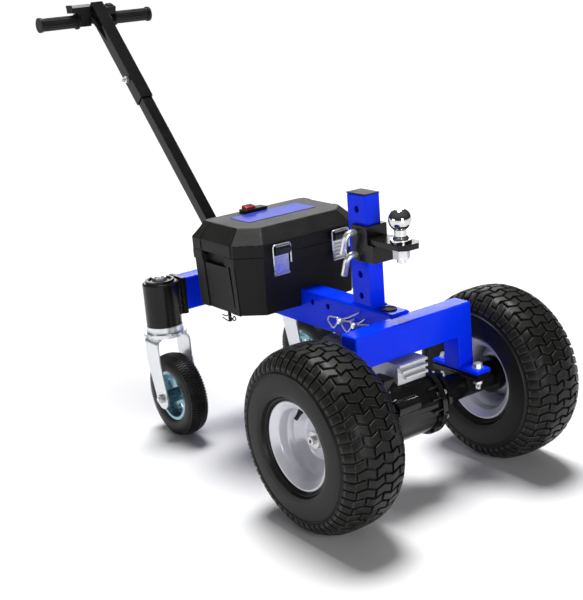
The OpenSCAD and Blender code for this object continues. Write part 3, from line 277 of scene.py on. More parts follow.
def make_mottle():
    """Slow changes over a surface, as on sprayed paint or moulded rubber."""
    group, inlet, outlet = new_group("slow mottle", {"Scale": 14.0, "Low": 0.3, "High": 0.7}, ("Mask",))
    slow = add_noise(group, inlet.outputs["Scale"], 4.0)
    mask = add_range(group, slow, inlet.outputs["Low"], inlet.outputs["High"])
    group.links.new(mask, outlet.inputs["Mask"])
    return group


GRAIN, MOTTLE = make_grain(), make_mottle()
print("Groups:", GRAIN.name, "and", MOTTLE.name)


# %% The edge wear and highlight, dust and brushing groups
EDGE_MARK = "edge_mark"


def make_edge_wear_and_highlight():
    """A broken mask along the rounded edges, which the mesh code marks face by face: real rubbing and a
    painted highlight.
    """
    group, inlet, outlet = new_group("edge wear and painted highlight", {"Coverage": 0.4, "Scale": 180.0}, ("Mask",))
    mark = group.nodes.new("ShaderNodeAttribute")
    mark.attribute_name = EDGE_MARK
    broken = add_noise(group, inlet.outputs["Scale"], 4.0)
    start = add_math(group, "SUBTRACT", 0.75, add_math(group, "MULTIPLY", inlet.outputs["Coverage"], 0.5))
    patch = add_range(group, broken, start, 0.8)
    group.links.new(add_math(group, "MULTIPLY", patch, mark.outputs["Fac"]), outlet.inputs["Mask"])
    return group


def make_dust():
    """Dust that has settled on faces that look up, in thin clouds."""
    group, inlet, outlet = new_group("settled dust", {"Amount": 0.2}, ("Mask",))
    face = group.nodes.new("ShaderNodeNewGeometry")
    parts = group.nodes.new("ShaderNodeSeparateXYZ")
    group.links.new(face.outputs["Normal"], parts.inputs["Vector"])
    up = add_range(group, parts.outputs["Z"], 0.35, 1.0)
    cloud = add_range(group, add_noise(group, 26.0, 5.0), 0.35, 0.75)
    settled = add_math(group, "MULTIPLY", add_math(group, "MULTIPLY", up, cloud), inlet.outputs["Amount"])
    group.links.new(settled, outlet.inputs["Mask"])
    return group


def make_brushing():
    """Fine lines along the dolly, as drawing or brushing leaves on steel."""
    group, inlet, outlet = new_group("brushed lines", {"Scale": 60.0}, ("Height", "Tone"))
    lines = add_noise(group, inlet.outputs["Scale"], 3.0, (1.0, 14.0, 14.0))
    group.links.new(add_range(group, lines, 0.3, 0.7), outlet.inputs["Height"])
    group.links.new(add_range(group, lines, 0.2, 0.8), outlet.inputs["Tone"])
    return group


EDGE_WEAR_AND_HIGHLIGHT, DUST, BRUSHING = make_edge_wear_and_highlight(), make_dust(), make_brushing()
print("Groups:", EDGE_WEAR_AND_HIGHLIGHT.name, DUST.name, BRUSHING.name)


# %% [markdown]
# ## Building a finish from the effects
# Every finish has a base colour that the mottling pulls towards a second tone, a roughness that
# varies with the same mask, and a small bump. Edge wear with a painted edge highlight, and dust,
# lie over that. The function below wires those sockets; values that are the same all over stay
# on the shader's own sockets.

# %% A finish
DUST_COLOUR = (0.46, 0.44, 0.41)
PLAIN_GRAIN = 900.0


def add_group(mat, group, **values):
    """Places a node group in a material with its own values."""
    node = mat.node_tree.nodes.new("ShaderNodeGroup")
    node.node_tree = group
    for label, value in values.items():
        node.inputs[label].default_value = value
    return node.outputs


def mix_colour(mat, mask, first, second):
    """Mixes two colours by a mask; each is a socket or a plain colour."""
    node = mat.node_tree.nodes.new("ShaderNodeMix")
    node.data_type = "RGBA"
    mat.node_tree.links.new(mask, node.inputs["Factor"])
    for slot, value in zip((node.inputs[6], node.inputs[7]), (first, second)):
        if isinstance(value, tuple):
            slot.default_value = (*value, 1)
        else:
            mat.node_tree.links.new(value, slot)
    return node.outputs[2]


def finish(name, colour, second, roughness, bump, grain=None, brush=None, mottle=14.0, metallic=0.0,
           wear_and_highlight=None, dust=None, coat=0.0, coat_roughness=0.1, specular=0.5):
    """A material: colour and second are mixed by mottling, roughness is (low, high), bump is in metres."""
    mat = bpy.data.materials.new(name)
    mat.use_nodes = True
    tree = mat.node_tree
    shader = tree.nodes["Principled BSDF"]
    shader.inputs["Metallic"].default_value = metallic
    shader.inputs["Coat Weight"].default_value = coat
    shader.inputs["Coat Roughness"].default_value = coat_roughness
    shader.inputs["Specular IOR Level"].default_value = specular
    slow = add_group(mat, MOTTLE, Scale=mottle)["Mask"]
    base = mix_colour(mat, slow, colour, second)
    if brush:
        fine = add_group(mat, BRUSHING, Scale=brush)
    else:
        fine = add_group(mat, GRAIN, Scale=grain or PLAIN_GRAIN)
    # The edge colour is partly rubbing and partly a painted highlight on the rounded edges.
    if wear_and_highlight:
        mask = add_group(mat, EDGE_WEAR_AND_HIGHLIGHT, Coverage=wear_and_highlight[0])["Mask"]
        base = mix_colour(mat, mask, base, wear_and_highlight[1])
    if dust:
        base = mix_colour(mat, add_group(mat, DUST, Amount=dust)["Mask"], base, DUST_COLOUR)
    tree.links.new(base, shader.inputs["Base Color"])
    gloss = add_math(tree, "MULTIPLY", add_math(tree, "ADD", slow, fine["Tone"]), 0.5)
    tree.links.new(add_range(tree, gloss, 0.0, 1.0, *roughness), shader.inputs["Roughness"])
    relief = tree.nodes.new("ShaderNodeBump")
    relief.inputs["Distance"].default_value = bump
    tree.links.new(fine["Height"], relief.inputs["Height"])
    tree.links.new(relief.outputs["Normal"], shader.inputs["Normal"])
    return mat


# %% [markdown]
# ## The dolly's finishes
# The frame is a deep glossy blue powder coat. The handle, the housings and the hitch block are
# black powder coat with a satin sheen, and the gear case is black paint over a rough casting.
# The case is grained black plastic. Pins, forks and small hardware are bright zinc, the ball is
# chrome, and the drive rims are silver paint.

# %% Paints
# The brighter edge colours below are partly rubbing and partly a painted highlight on the rounded edges.
FINISH = {
    # The paler blue on the rounded edges is a painted highlight.
    "frame_blue": finish(
        "blue powder coat", (0.0014, 0.030, 0.94), (0.0018, 0.038, 1.0), (0.16, 0.26), 0.00003,
        grain=420, mottle=9, wear_and_highlight=(0.2, (0.02, 0.12, 1.0)), specular=0.09),
    "black_steel": finish(
        "black powder coat", (0.0040, 0.0040, 0.0038), (0.0070, 0.0070, 0.0066), (0.18, 0.30), 0.00003,
        grain=520, mottle=12, wear_and_highlight=(0.5, (0.05, 0.05, 0.05)), dust=0.02, specular=0.26),
    "black_casting": finish(
        "black casting paint", (0.004, 0.004, 0.004), (0.009, 0.009, 0.0085), (0.10, 0.22), 0.0001,
        grain=240, mottle=20, wear_and_highlight=(0.4, (0.05, 0.05, 0.05)), specular=0.35),
    "motor_grey": finish(
        "dark motor paint", (0.016, 0.016, 0.017), (0.026, 0.026, 0.028), (0.32, 0.46), 0.0001,
        grain=420, wear_and_highlight=(0.3, (0.12, 0.12, 0.13)), dust=0.05, specular=0.3),
    "rim_silver": finish(
        "silver wheel paint", (0.66, 0.66, 0.72), (0.74, 0.74, 0.80), (0.27, 0.29), 0.000002,
        grain=300, mottle=5, metallic=0.3, coat=0.15),
}
print("Paints:", list(FINISH))

# %% Metals
# The brighter edge colours of alloy and zinc are partly rubbing and partly a painted highlight.
FINISH.update({
    "alloy": finish(
        "bare cast alloy", (0.60, 0.61, 0.64), (0.70, 0.71, 0.74), (0.34, 0.5), 0.00015,
        grain=500, metallic=0.6, wear_and_highlight=(0.4, (0.9, 0.9, 0.9))),
    "chrome": finish(
        "bright chrome", (0.62, 0.62, 0.63), (0.68, 0.68, 0.69), (0.04, 0.10), 0.000004,
        grain=700, metallic=1.0),
    "zinc": finish(
        "bright zinc plate", (0.72, 0.74, 0.76), (0.80, 0.82, 0.84), (0.24, 0.34), 0.00001,
        brush=40, metallic=0.8, wear_and_highlight=(0.4, (0.98, 0.98, 0.98))),
    "hub_steel": finish(
        "machined steel", (0.60, 0.60, 0.61), (0.72, 0.72, 0.72), (0.20, 0.34), 0.00003,
        brush=70, metallic=0.9),
})
YELLOW_ZINC = finish(
    "yellow zinc bolts", (0.60, 0.54, 0.38), (0.70, 0.66, 0.52), (0.26, 0.4), 0.00004,
    grain=800, metallic=0.9)
NUT_STEEL = finish(
    "galvanised nut", (0.46, 0.47, 0.49), (0.60, 0.61, 0.63), (0.3, 0.45), 0.0003,
    grain=420, metallic=0.9)
TEAL_ZINC = finish(
    "blue-green zinc", (0.20, 0.36, 0.42), (0.34, 0.50, 0.56), (0.18, 0.32), 0.00004,
    grain=700, metallic=0.9)
print("Metals added:", len(FINISH))

# %% Plastics and rubber
FINISH.update({
    # The paler edge colours of the plastics and rubbers are partly rubbing and partly a painted highlight.
    "case_plastic": finish(
        "grained black plastic", (0.0085, 0.0083, 0.0078), (0.013, 0.0127, 0.012), (0.36, 0.50), 0.00010,
        grain=1100, mottle=10, wear_and_highlight=(0.5, (0.035, 0.035, 0.034)), dust=0.03, specular=0.17),
    "battery_grey": finish(
        "battery case grey", (0.10, 0.10, 0.105), (0.13, 0.13, 0.135), (0.45, 0.6), 0.0001),
    "panel_blue": finish(
        "blue panel", (0.036, 0.056, 0.40), (0.044, 0.066, 0.46), (0.30, 0.42), 0.00003,
        grain=900, specular=0.06),
    "switch_red": finish(
        "red switch plastic", (0.50, 0.012, 0.014), (0.58, 0.02, 0.02), (0.25, 0.38), 0.00003),
    "grip_rubber": finish(
        "grip rubber", (0.007, 0.007, 0.007), (0.012, 0.012, 0.0115), (0.40, 0.56), 0.0001,
        grain=700, wear_and_highlight=(0.3, (0.03, 0.03, 0.03)), specular=0.28),
    # On the tyres the pale grey along the bevelled block edges is a painted highlight.
    "tyre_rubber": finish(
        "tyre rubber", (0.0060, 0.0058, 0.0054), (0.0115, 0.0111, 0.0104), (0.34, 0.50), 0.00015,
        grain=650, mottle=16, wear_and_highlight=(0.9, (0.075, 0.073, 0.069)), dust=0.02, specular=0.2),
})
BLACK_RUBBER = finish(
    "valve rubber", (0.004, 0.004, 0.004), (0.006, 0.006, 0.006), (0.25, 0.4), 0.00005,
    specular=0.5)
PALE_COVER = finish("pale cover", (0.55, 0.55, 0.55), (0.65, 0.65, 0.65), (0.4, 0.5), 0.00003)
print("Finishes in all:", len(FINISH))

# %% [markdown]
# ## Tools for mesh pieces
# Three ways of making a shape come back all the time. A round piece is turned: an outline of
# radius and reach is spun about an axis. A wire or rod is a tube swept along points. A solid
# from the frame that only lacks rounded edges is copied, its flat faces are joined again and its
# sharp edges are rounded, so that they catch the light as real folded and cast edges do.

# %% From a mesh under construction to a piece on its body
def add_piece(name, bm, materials, body, replaces=(), sharp=38.0):
    """Turns a bmesh into a piece that rides on a body and may stand for CAD nodes."""
    mesh = bpy.data.meshes.new(name)
    bmesh.ops.recalc_face_normals(bm, faces=bm.faces)
    bm.to_mesh(mesh)
    bm.free()
    for polygon in mesh.polygons:
        polygon.use_smooth = True
    mesh.set_sharp_from_angle(angle=math.radians(sharp))
    for material in materials if isinstance(materials, (list, tuple)) else [materials]:
        mesh.materials.append(material)
    piece = bpy.data.objects.new(name, mesh)
    scene.collection.objects.link(piece)
    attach(piece, body)
    if replaces:
        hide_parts(*replaces)
    return piece


def even_normals(piece):
    """Lets large faces keep flat shading beside their rounded edges."""
    modifier = piece.modifiers.new("even normals", "WEIGHTED_NORMAL")
    modifier.keep_sharp = True
    return piece


# %% A frame solid with rounded edges
FINE_MM = 0.6
SHARP_ANGLE = math.radians(26)
FLAT_ANGLE = math.radians(0.6)
SAME_POINT = 0.004 * MM
FACE_ROOM = 2.2


def frame_mesh(node):
    """A CAD node's mesh with its flat faces joined again."""
    bm = bmesh.new()
    bm.from_mesh(frame["nodes"][node].data)
    bmesh.ops.remove_doubles(bm, verts=bm.verts, dist=SAME_POINT)
    bmesh.ops.dissolve_limit(bm, angle_limit=FLAT_ANGLE, verts=bm.verts, edges=bm.edges)
    return bm


def sharp_edges(bm, longer, width):
    """The outer sharp edges of a mesh: with a length, only the long ones between faces with room."""
    found = [e for e in bm.edges if e.is_manifold and e.is_convex and e.calc_face_angle(0) > SHARP_ANGLE]
    if not longer:
        return found
    return [e for e in found if e.calc_length() > longer * MM
            and all(f.calc_area() > FACE_ROOM * width * MM * e.calc_length() for f in e.link_faces)]


def ease_edges(bm, width_mm, long_mm=24.0):
    """Rounds the long sharp edges of a mesh by a width and all the others finely."""
    mark = bm.faces.layers.float.new(EDGE_MARK)
    for longer, width, clamp in ((long_mm, width_mm, False), (0, min(width_mm, FINE_MM), True)):
        edges = sharp_edges(bm, longer, width)
        if edges:
            made = bmesh.ops.bevel(bm, geom=edges, offset=width * MM, offset_type="OFFSET", segments=3,
                                   profile=0.5, affect="EDGES", clamp_overlap=clamp)
            for face in made["faces"]:
                face[mark] = 1.0


def eased(node, width_mm, material=None):
    """A copy of a CAD node with its sharp edges rounded, standing for it."""
    bm = frame_mesh(node)
    ease_edges(bm, width_mm)
    slot = SLOT_OF[node]
    piece = add_piece(node + "_eased", bm, material or FINISH[slot], BODY_OF[node], [node])
    return even_normals(piece)


# %% Outlines, turned pieces and swept wires
SIDE_SHARE = 0.45


def round_axle(angle, radius, reach):
    """A place at an angle and a radius round an axle along Y."""
    return Vector((math.cos(angle) * radius, reach, math.sin(angle) * radius))


def join_rings(bm, here, there, material=0):
    """Quads between two rings of points of equal count."""
    faces = []
    for k in range(len(here)):
        other = (k + 1) % len(here)
        faces.append(bm.faces.new((here[k], here[other], there[other], there[k])))
        faces[-1].material_index = material
    return faces


def rounded(points, radius, steps=4, closed=False):
    """Rounds the corners of an outline of 2D points with arcs of about that radius."""
    out, count = [], len(points)
    for i, point in enumerate(points):
        here = Vector(point)
        if not closed and i in (0, count - 1):
            out.append(here)
            continue
        before, after = Vector(points[i - 1]) - here, Vector(points[(i + 1) % count]) - here
        reach = min(radius, SIDE_SHARE * before.length, SIDE_SHARE * after.length)
        first, last = here + before.normalized() * reach, here + after.normalized() * reach
        for k in range(steps + 1):
            t = k / steps
            out.append(first * (1 - t) ** 2 + here * 2 * t * (1 - t) + last * t ** 2)
    return out


def turn(bm, outline, segments, place, closed=True, material=0):
    """Spins an outline of (radius, reach) about an axle along Y through place."""
    rings = []
    for i in range(segments):
        angle = 2 * math.pi * i / segments
        rings.append([bm.verts.new(Vector(place) + round_axle(angle, r, t)) for r, t in outline])
    count = len(outline)
    for i in range(segments):
        here, there = rings[i], rings[(i + 1) % segments]
        for k in range(count if closed else count - 1):
            face = bm.faces.new((here[k], there[k], there[(k + 1) % count], here[(k + 1) % count]))
            face.material_index = material
    if not closed:
        for k in (0, count - 1):
            cap = bm.faces.new([ring[k] for ring in rings])
            cap.material_index = material


def sweep(bm, points, radius, sides=10, closed=False, material=0):
    """A tube along points, with round ends closed by caps; radius may be a list."""
    points = [Vector(p) for p in points]
    count = len(points)
    radii = radius if isinstance(radius, list) else [radius] * count
    normal, rings = None, []
    for i, point in enumerate(points):
        ahead = points[(i + 1) % count] if closed or i < count - 1 else point
        behind = points[i - 1] if closed or i > 0 else point
        tangent = (ahead - behind).normalized()
        if normal is None:
            normal = tangent.orthogonal().normalized()
        normal = (normal - tangent * normal.dot(tangent)).normalized()
        side = tangent.cross(normal)
        rings.append([bm.verts.new(point + (normal * math.cos(a) + side * math.sin(a)) * radii[i])
                      for a in (2 * math.pi * k / sides for k in range(sides))])
    for i in range(count if closed else count - 1):
        join_rings(bm, rings[i], rings[(i + 1) % count], material)
    if not closed:
        for ring in (rings[0], rings[-1]):
            bm.faces.new(ring).material_index = material


def add_box(bm, low, high, round_mm=0.6, material=0, turn_by=None):
    """A box between two corners with rounded edges; turn_by is a matrix for its corners."""
    made = bmesh.ops.create_cube(bm, size=1.0)
    low, high = Vector(low), Vector(high)
    for vert in made["verts"]:
        vert.co = Vector((low[k] + (vert.co[k] + 0.5) * (high[k] - low[k]) for k in range(3)))
    edges = list({e for v in made["verts"] for e in v.link_edges})
    faces = list({f for v in made["verts"] for f in v.link_faces})
    done = bmesh.ops.bevel(bm, geom=edges, offset=round_mm * MM, segments=2, profile=0.5, affect="EDGES",
                           clamp_overlap=True)
    faces = {f for f in faces if f.is_valid} | set(done["faces"])
    verts = {v for f in faces for v in f.verts}
    for face in faces:
        face.material_index = material
    if turn_by is not None:
        for vert in verts:
            vert.co = turn_by @ vert.co


def add_bolt(bm, place, axis, across, height, stud=0.0, material=0, washer=1.6):
    """A hexagon head with a chamfered top on a washer; stud is the length of thread that shows."""
    place, axis = Vector(place), Vector(axis).normalized()
    sideways = axis.orthogonal().normalized()
    other = axis.cross(sideways)

    def ring(radius, reach, sides):
        return [bm.verts.new(place + axis * reach + (sideways * math.cos(a) + other * math.sin(a)) * radius)
                for a in (2 * math.pi * k / sides for k in range(sides))]

    def stack(levels, sides):
        rings = [ring(radius, reach, sides) for radius, reach in levels]
        for here, there in zip(rings, rings[1:]):
            join_rings(bm, here, there, material)
        for end in (rings[0], rings[-1]):
            bm.faces.new(end).material_index = material

    corner = across / math.sqrt(3)
    flat = washer * MM
    if washer:
        stack([(corner * 1.22, 0), (corner * 1.22, flat * 0.8), (corner * 1.15, flat)], 24)
    stack([(corner, flat), (corner, flat + height * 0.85), (corner * 0.86, flat + height)], 6)
    if stud:
        stack([(across * 0.3, flat), (across * 0.3, flat + height + stud * 0.9),
               (across * 0.24, flat + height + stud)], 16)


print("Tools ready")


# %% [markdown]
# ## Drive tyres
# A turf tyre has a low brick pattern. All its cross grooves follow one zigzag, and the blocks are
# cut at the zigzag's peaks on one row and at its valleys on the next, so rows of arrowheads point
# to and fro; over the shoulders each row runs out in a lug. Bump can't give the notched outline,
# so the tread is real geometry: the carcass is turned, and each block is a small prism whose top
# lies on the tyre's own curved section. A loop over rows and columns lays the blocks.

# %% The section of a drive tyre
TREAD_DEPTH = 5.5 * MM
TREAD_ROWS = 56
BLOCK_WIDTH = 39 * MM
GROOVE = 5.4 * MM
ZIGZAG = 8.2 * MM
BEVEL = 0.9 * MM
TREAD_HALF = 60 * MM
BEAD_RADIUS = 76.2 * MM
WIDEST_SHARE = 0.42
SIDE_POWER = 3


def widest(radius):
    """The height above the axle at which the tyre is widest."""
    return BEAD_RADIUS + WIDEST_SHARE * (radius - BEAD_RADIUS)


def tyre_curve(reach, half_width, radius):
    """The tyre's outer radius at a distance from its middle plane."""
    mid = widest(radius)
    return mid + (radius - mid) * max(0.0, 1 - abs(reach / half_width) ** SIDE_POWER) ** (1 / SIDE_POWER)


def side_reach(height, half_width, radius):
    """The distance of the side wall from the tyre's middle plane at a height above the axle."""
    mid = widest(radius)
    span = radius - mid if height > mid else mid - BEAD_RADIUS
    return half_width * (1 - abs((height - mid) / span) ** SIDE_POWER) ** (1 / SIDE_POWER)


def zigzag(reach):
    """How far a cross groove lies round the tyre at a distance from the middle plane."""
    return ZIGZAG * abs(2 * ((reach / BLOCK_WIDTH) % 1.0) - 1)


# %% A tread block
# How far each level's edge is drawn in, and the share of the block's depth that lies above it
BLOCK_LEVELS = ((0.0, 1.0), (0.0, 0.16), (BEVEL, 0.0))


def add_block(bm, centre, radius, half, breaks, row, depths, mark):
    """One tread block over the given breakpoints across the tyre, with a bevelled top edge."""
    pitch = 2 * math.pi * radius / TREAD_ROWS
    count = len(breaks)
    levels = []
    for inset, sunk in BLOCK_LEVELS:
        loops = []
        for edge in (GROOVE / 2 + inset, pitch - GROOVE / 2 - inset):
            line = []
            for k, reach in enumerate(breaks):
                place = reach + (inset if k == 0 else -inset if k == count - 1 else 0.0)
                height = tyre_curve(place, half, radius) - sunk * depths[k]
                angle = (row * pitch + zigzag(min(max(place, -TREAD_HALF), TREAD_HALF)) + edge) / radius
                line.append(bm.verts.new(centre + round_axle(angle, height, place)))
            loops.append(line)
        levels.append(loops[0] + loops[1][::-1])
    top = levels[-1]
    for low, high in zip(levels, levels[1:]):
        for face in join_rings(bm, low, high):
            face[mark] = float(high is top)
    for k in range(count - 1):
        bm.faces.new((top[k], top[k + 1], top[2 * count - 2 - k], top[2 * count - 1 - k]))


# %% The carcass of a drive tyre
# Radius and reach along the bead and the rim guard
BEAD = ((76.2, 46), (92.3, 57.5), (94.5, 60.5), (95.5, 64.6), (97, 66.4), (99, 66.6), (100.4, 65.2))
# Height on the side wall, and how far the wall with its ridge stands out from the plain curve
WALL = [(height, -0.8) for height in (103, 108, 114, 120, 126, 132, 138, 143, 146.6)]
RIDGE = [(147.4, 0.9), (149.2, 1.1), (150.2, -0.8), (153, -2.4), (157, -3.0), (163, -3.4)]
FLOOR_REACHES = (60, 48, 32, 16)
FLOOR_CROWN = 0.3 * MM


def carcass_outline(radius, half):
    """The tyre without its tread: beads, bulging side walls with a ridge, and the floor of the tread."""
    outer = [(h * MM, r * MM) for h, r in BEAD]
    outer += [(h * MM, side_reach(h * MM, half, radius) + proud * MM) for h, proud in WALL + RIDGE]
    outer += [(tyre_curve(r * MM, half, radius) - TREAD_DEPTH, r * MM) for r in FLOOR_REACHES]
    return outer + [(outer[-1][0] + FLOOR_CROWN, 0)] + [(h, -r) for h, r in outer[::-1]]


# %% The whole drive tyre
SHORTEST_BLOCK = 5 * MM
CORNER_ROOM = 1.5 * MM
# Reach and depth along a shoulder lug
LUG = ((60.2, 5.5), (65, 6.2), (69, 6.8), (72, 6.0))


def tread_columns(row):
    """The breakpoints of each block of a row, with the zigzag's corner between its ends."""
    shift = 0.5 * BLOCK_WIDTH * (row % 2)
    corners = [k * BLOCK_WIDTH / 2 for k in range(-8, 9)]
    for column in range(-3, 3):
        first = max(column * BLOCK_WIDTH + shift + GROOVE / 2, -TREAD_HALF)
        last = min((column + 1) * BLOCK_WIDTH + shift - GROOVE / 2, TREAD_HALF)
        if last - first > SHORTEST_BLOCK:
            yield [first] + [c for c in corners if first + CORNER_ROOM < c < last - CORNER_ROOM] + [last]


def drive_tyre(side):
    """A turf tyre that stands for its CAD solid."""
    node = "drive_tyre_" + side
    low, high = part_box(node)
    centre, radius, half = (low + high) / 2, (high.z - low.z) / 2, (high.y - low.y) / 2
    bm = bmesh.new()
    mark = bm.faces.layers.float.new(EDGE_MARK)
    turn(bm, carcass_outline(radius, half), 3 * TREAD_ROWS, centre)
    for row in range(TREAD_ROWS):
        for breaks in tread_columns(row):
            add_block(bm, centre, radius, half, breaks, row, [TREAD_DEPTH] * len(breaks), mark)
        for sign in (-1, 1):
            reaches = [sign * reach * MM for reach, _ in LUG][::sign]
            depths = [depth * MM for _, depth in LUG][::sign]
            add_block(bm, centre, radius, half, reaches, row, depths, mark)
    piece = add_piece(node + "_tread", bm, FINISH["tyre_rubber"], BODY_OF[node], [node], 45)
    print(piece.name, len(piece.data.polygons), "faces")


for side in SIDES:
    drive_tyre(side)

# %% [markdown]
# ## Drive rims
# The wheel is pressed from sheet: a flange that holds the bead, a slope to the bead seat, a
# narrow well and a cupped disc. The CAD solid has that section with sharp folds. Turning the
# outline again with rounded corners is the surest way to get the soft bright rings that a
# pressed rim shows.

# %% Drive rims
# Radius and reach from the wheel's middle plane
RIM_HALF = ((62, 21), (72, 31), (73.6, 49.2), (87.5, 61.6), (89.5, 62), (92, 60.5), (92, 58), (76, 46),
            (76, 30), (66, 22))
RIM_DISC = ((63, 23), (50, 9), (44, 4), (12.7, 4), (12.7, -2), (42, -2), (48, 3), (63, 17))
BARREL_FOLD = 2.5 * MM
DISC_FOLD = 3.5 * MM
RIM_SEGMENTS = 96


def drive_rim(side):
    """A pressed rim with its cupped disc."""
    node = "drive_rim_" + side
    centre = middle(node)
    bm = bmesh.new()
    barrel = rounded([mm(r, reach) for r, reach in RIM_HALF], BARREL_FOLD, 3)
    turn(bm, barrel + [Vector((p.x, -p.y)) for p in barrel[::-1]], RIM_SEGMENTS, centre)
    disc = rounded([mm(r, SIDES[side] * reach) for r, reach in RIM_DISC], DISC_FOLD, 3, True)
    turn(bm, disc, RIM_SEGMENTS, centre)
    add_piece(node + "_pressed", bm, FINISH["rim_silver"], BODY_OF[node], [node], 50)
    print(node, "pressed rim")


for side in SIDES:
    drive_rim(side)

# %% [markdown]
# ## The rest of the frame, first with rounded edges
# Welded tubes, plates and castings never have knife edges. Each remaining solid keeps its form
# and gets the fold radius that its making leaves: wide on drawn tubes, small on cut plate.

# %% Rounded solids
EASE_MM = {
    "spine": 4.5, "front_beam": 4.5, "hitch_post": 3.5, "rear_crossbar": 4.5, "post_cap": 1.0,
    "spine_plug": 0.8, "frame_pin": 0.8, "ball_mount": 1.6, "hitch_ball": 0.8, "ball_nut": 1.0,
    "hitch_pins": 1.0, "transaxle": 2.2, "foot_bolts": 0.8, "motor_bell": 0.9, "drive_motor": 2.0,
    "caster_housing_right": 1.5, "caster_housing_left": 1.5, "handle_socket": 1.2, "handle_tube": 2.0,
    "battery_pack": 3.0, "lid_label": 0.4, "handle_sleeve": 2.2, "handle_bar": 0.6, "grip_right": 2.0,
    "grip_left": 2.0, "sleeve_bolt": 0.8, "drive_hub_right": 1.0, "drive_hub_left": 1.0,
    "caster_fork_right": 1.4, "caster_fork_left": 1.4, "caster_axle_right": 0.8, "caster_axle_left": 0.8,
    "caster_rim_right": 1.0, "caster_rim_left": 1.0,
}
OTHER_FINISH = {"ball_nut": NUT_STEEL, "caster_rim_right": TEAL_ZINC, "caster_rim_left": TEAL_ZINC}
for node, width in EASE_MM.items():
    eased(node, width, OTHER_FINISH.get(node))
print("Rounded solids:", len(EASE_MM))

# %% [markdown]
# ## Caster tyres
# The casters run on small solid tyres with rows of short bars, half a pitch apart, which give the
# edge its saw-tooth look. The plain ring is turned and the bars are laid on it one by one, as
# four columns that follow the crown of the tread.

# %% A bar of a caster tyre
BARS = 84
BAR_COLUMNS = ((-22.5, -12.0), (-10.5, -0.8), (0.8, 10.5), (12.0, 22.5))
# Depth of each level below the crown, and its share of the pitch
BAR_LEVELS = ((6.0, 0.64), (0.8, 0.60), (0.0, 0.46))
CROWN_RADIUS = 101.8
CROWN_DROP = 0.0095


def crown(reach):
    """The outer radius of a caster tyre at a distance from its middle plane, in millimetres."""
    return CROWN_RADIUS - CROWN_DROP * reach * reach


def add_bar(bm, centre, place, first, last, mark):
    """One bar at a place counted in pitches, between two reaches in millimetres."""
    rings = []
    for sunk, share in BAR_LEVELS:
        begin = 2 * math.pi * (place - share / 2) / BARS
        end = begin + 2 * math.pi * share / BARS
        corners = ((begin, first), (begin, last), (end, last), (end, first))
        places = [round_axle(a, (crown(r) - sunk) * MM, r * MM) for a, r in corners]
        rings.append([bm.verts.new(centre + place_of) for place_of in places])
    for here, there in zip(rings, rings[1:]):
        for face in join_rings(bm, here, there):
            face[mark] = float(there is rings[-1])
    bm.faces.new(rings[-1])


# %% Caster tyres
CASTER_HALF = ((58, 17), (61, 20.5), (68, 23.6), (78, 25), (88, 24.2), (94, 21.8), (97, 17.5), (98.8, 9),
               (99.2, 0))
CASTER_SEGMENTS = 96
for side in SIDES:
    node = "caster_tyre_" + side
    centre = middle(node)
    bm = bmesh.new()
    mark = bm.faces.layers.float.new(EDGE_MARK)
    outline = list(CASTER_HALF) + [(r, -reach) for r, reach in CASTER_HALF[-2::-1]]
    turn(bm, [mm(r, reach) for r, reach in outline], CASTER_SEGMENTS, centre)
    for k in range(BARS):
        for column, (first, last) in enumerate(BAR_COLUMNS):
            add_bar(bm, centre, k + 0.5 * (column % 2), first, last, mark)
    add_piece(node + "_barred", bm, FINISH["tyre_rubber"], BODY_OF[node], [node], 45)
print("Caster tyres with", BARS, "bars a row")

# %% [markdown]
# ## The controls on the handle bar
# Beside the sleeve sit a speed control with a pale cover and a black thumb switch on a clamp
# ring. The speed box keeps its solid and only its cover changes colour, so faces are sorted by
# height; the switch is three rounded boxes and a turned ring.

# %% The speed box
COVER_MM = 8.5
bm = frame_mesh("speed_box")
ease_edges(bm, 1.5)
cover_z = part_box("speed_box")[1].z - COVER_MM * MM
for face in bm.faces:
    face.material_index = int(face.calc_center_median().z > cover_z)
even_normals(add_piece("speed_box_covered", bm, [FINISH["case_plastic"], PALE_COVER], BODY_OF["speed_box"],
                       ["speed_box"]))
print("Speed box with its cover")

# %% The thumb switch
# Low corner, high corner and edge rounding of the body, the button and the neck, from the bar's middle
THUMB_BOXES = (((-13, 26, 14), (13, 56, 36), 3.0),
               ((-8, 32, 34), (8, 50, 40), 2.0),
               ((-10, 24, -2), (10, 44, 18), 3.0))
THUMB_LEAN = math.radians(18)
CLAMP_RING = ((12.2, 34), (20, 34), (20, 44), (12.2, 44))
bar = middle("handle_bar")
bm = bmesh.new()
lean = Matrix.Translation(bar) @ Matrix.Rotation(THUMB_LEAN, 4, "Y")
for low, high, round_mm in THUMB_BOXES:
    add_box(bm, mm(*low), mm(*high), round_mm, 0, lean)
turn(bm, rounded([mm(*p) for p in CLAMP_RING], 2 * MM, 3, True), 40, bar)
even_normals(add_piece("thumb_switch_block", bm, FINISH["case_plastic"], BODY_OF["thumb_switch"],
                       ["thumb_switch"]))
print("Thumb switch on its clamp ring")

# %% [markdown]
# ## The battery case and its lid
# The case is moulded with draft, so its walls lean out towards the seam. Its front corners are
# cut wide and its rear ones only a little, and the lid rises from an upright band over sloped
# sides and corners to a flat top. Each shell is joined from a few eight-cornered levels, outside
# and in; then the tunnel for the spine, the hand pockets and the tapered grooves are cut by an
# exact boolean, which keeps their edges crisp, and all long edges are rounded like moulded ones.

# %% The levels of the case
CASE_REAR, CASE_FRONT, CASE_SIDE = -544, -328, 170
FRONT_CUT, REAR_CUT = 46, 10
SEAM_Z, BAND_Z, TOP_Z = 475, 502, 534
CORNER_PART = 2 - math.sqrt(2)


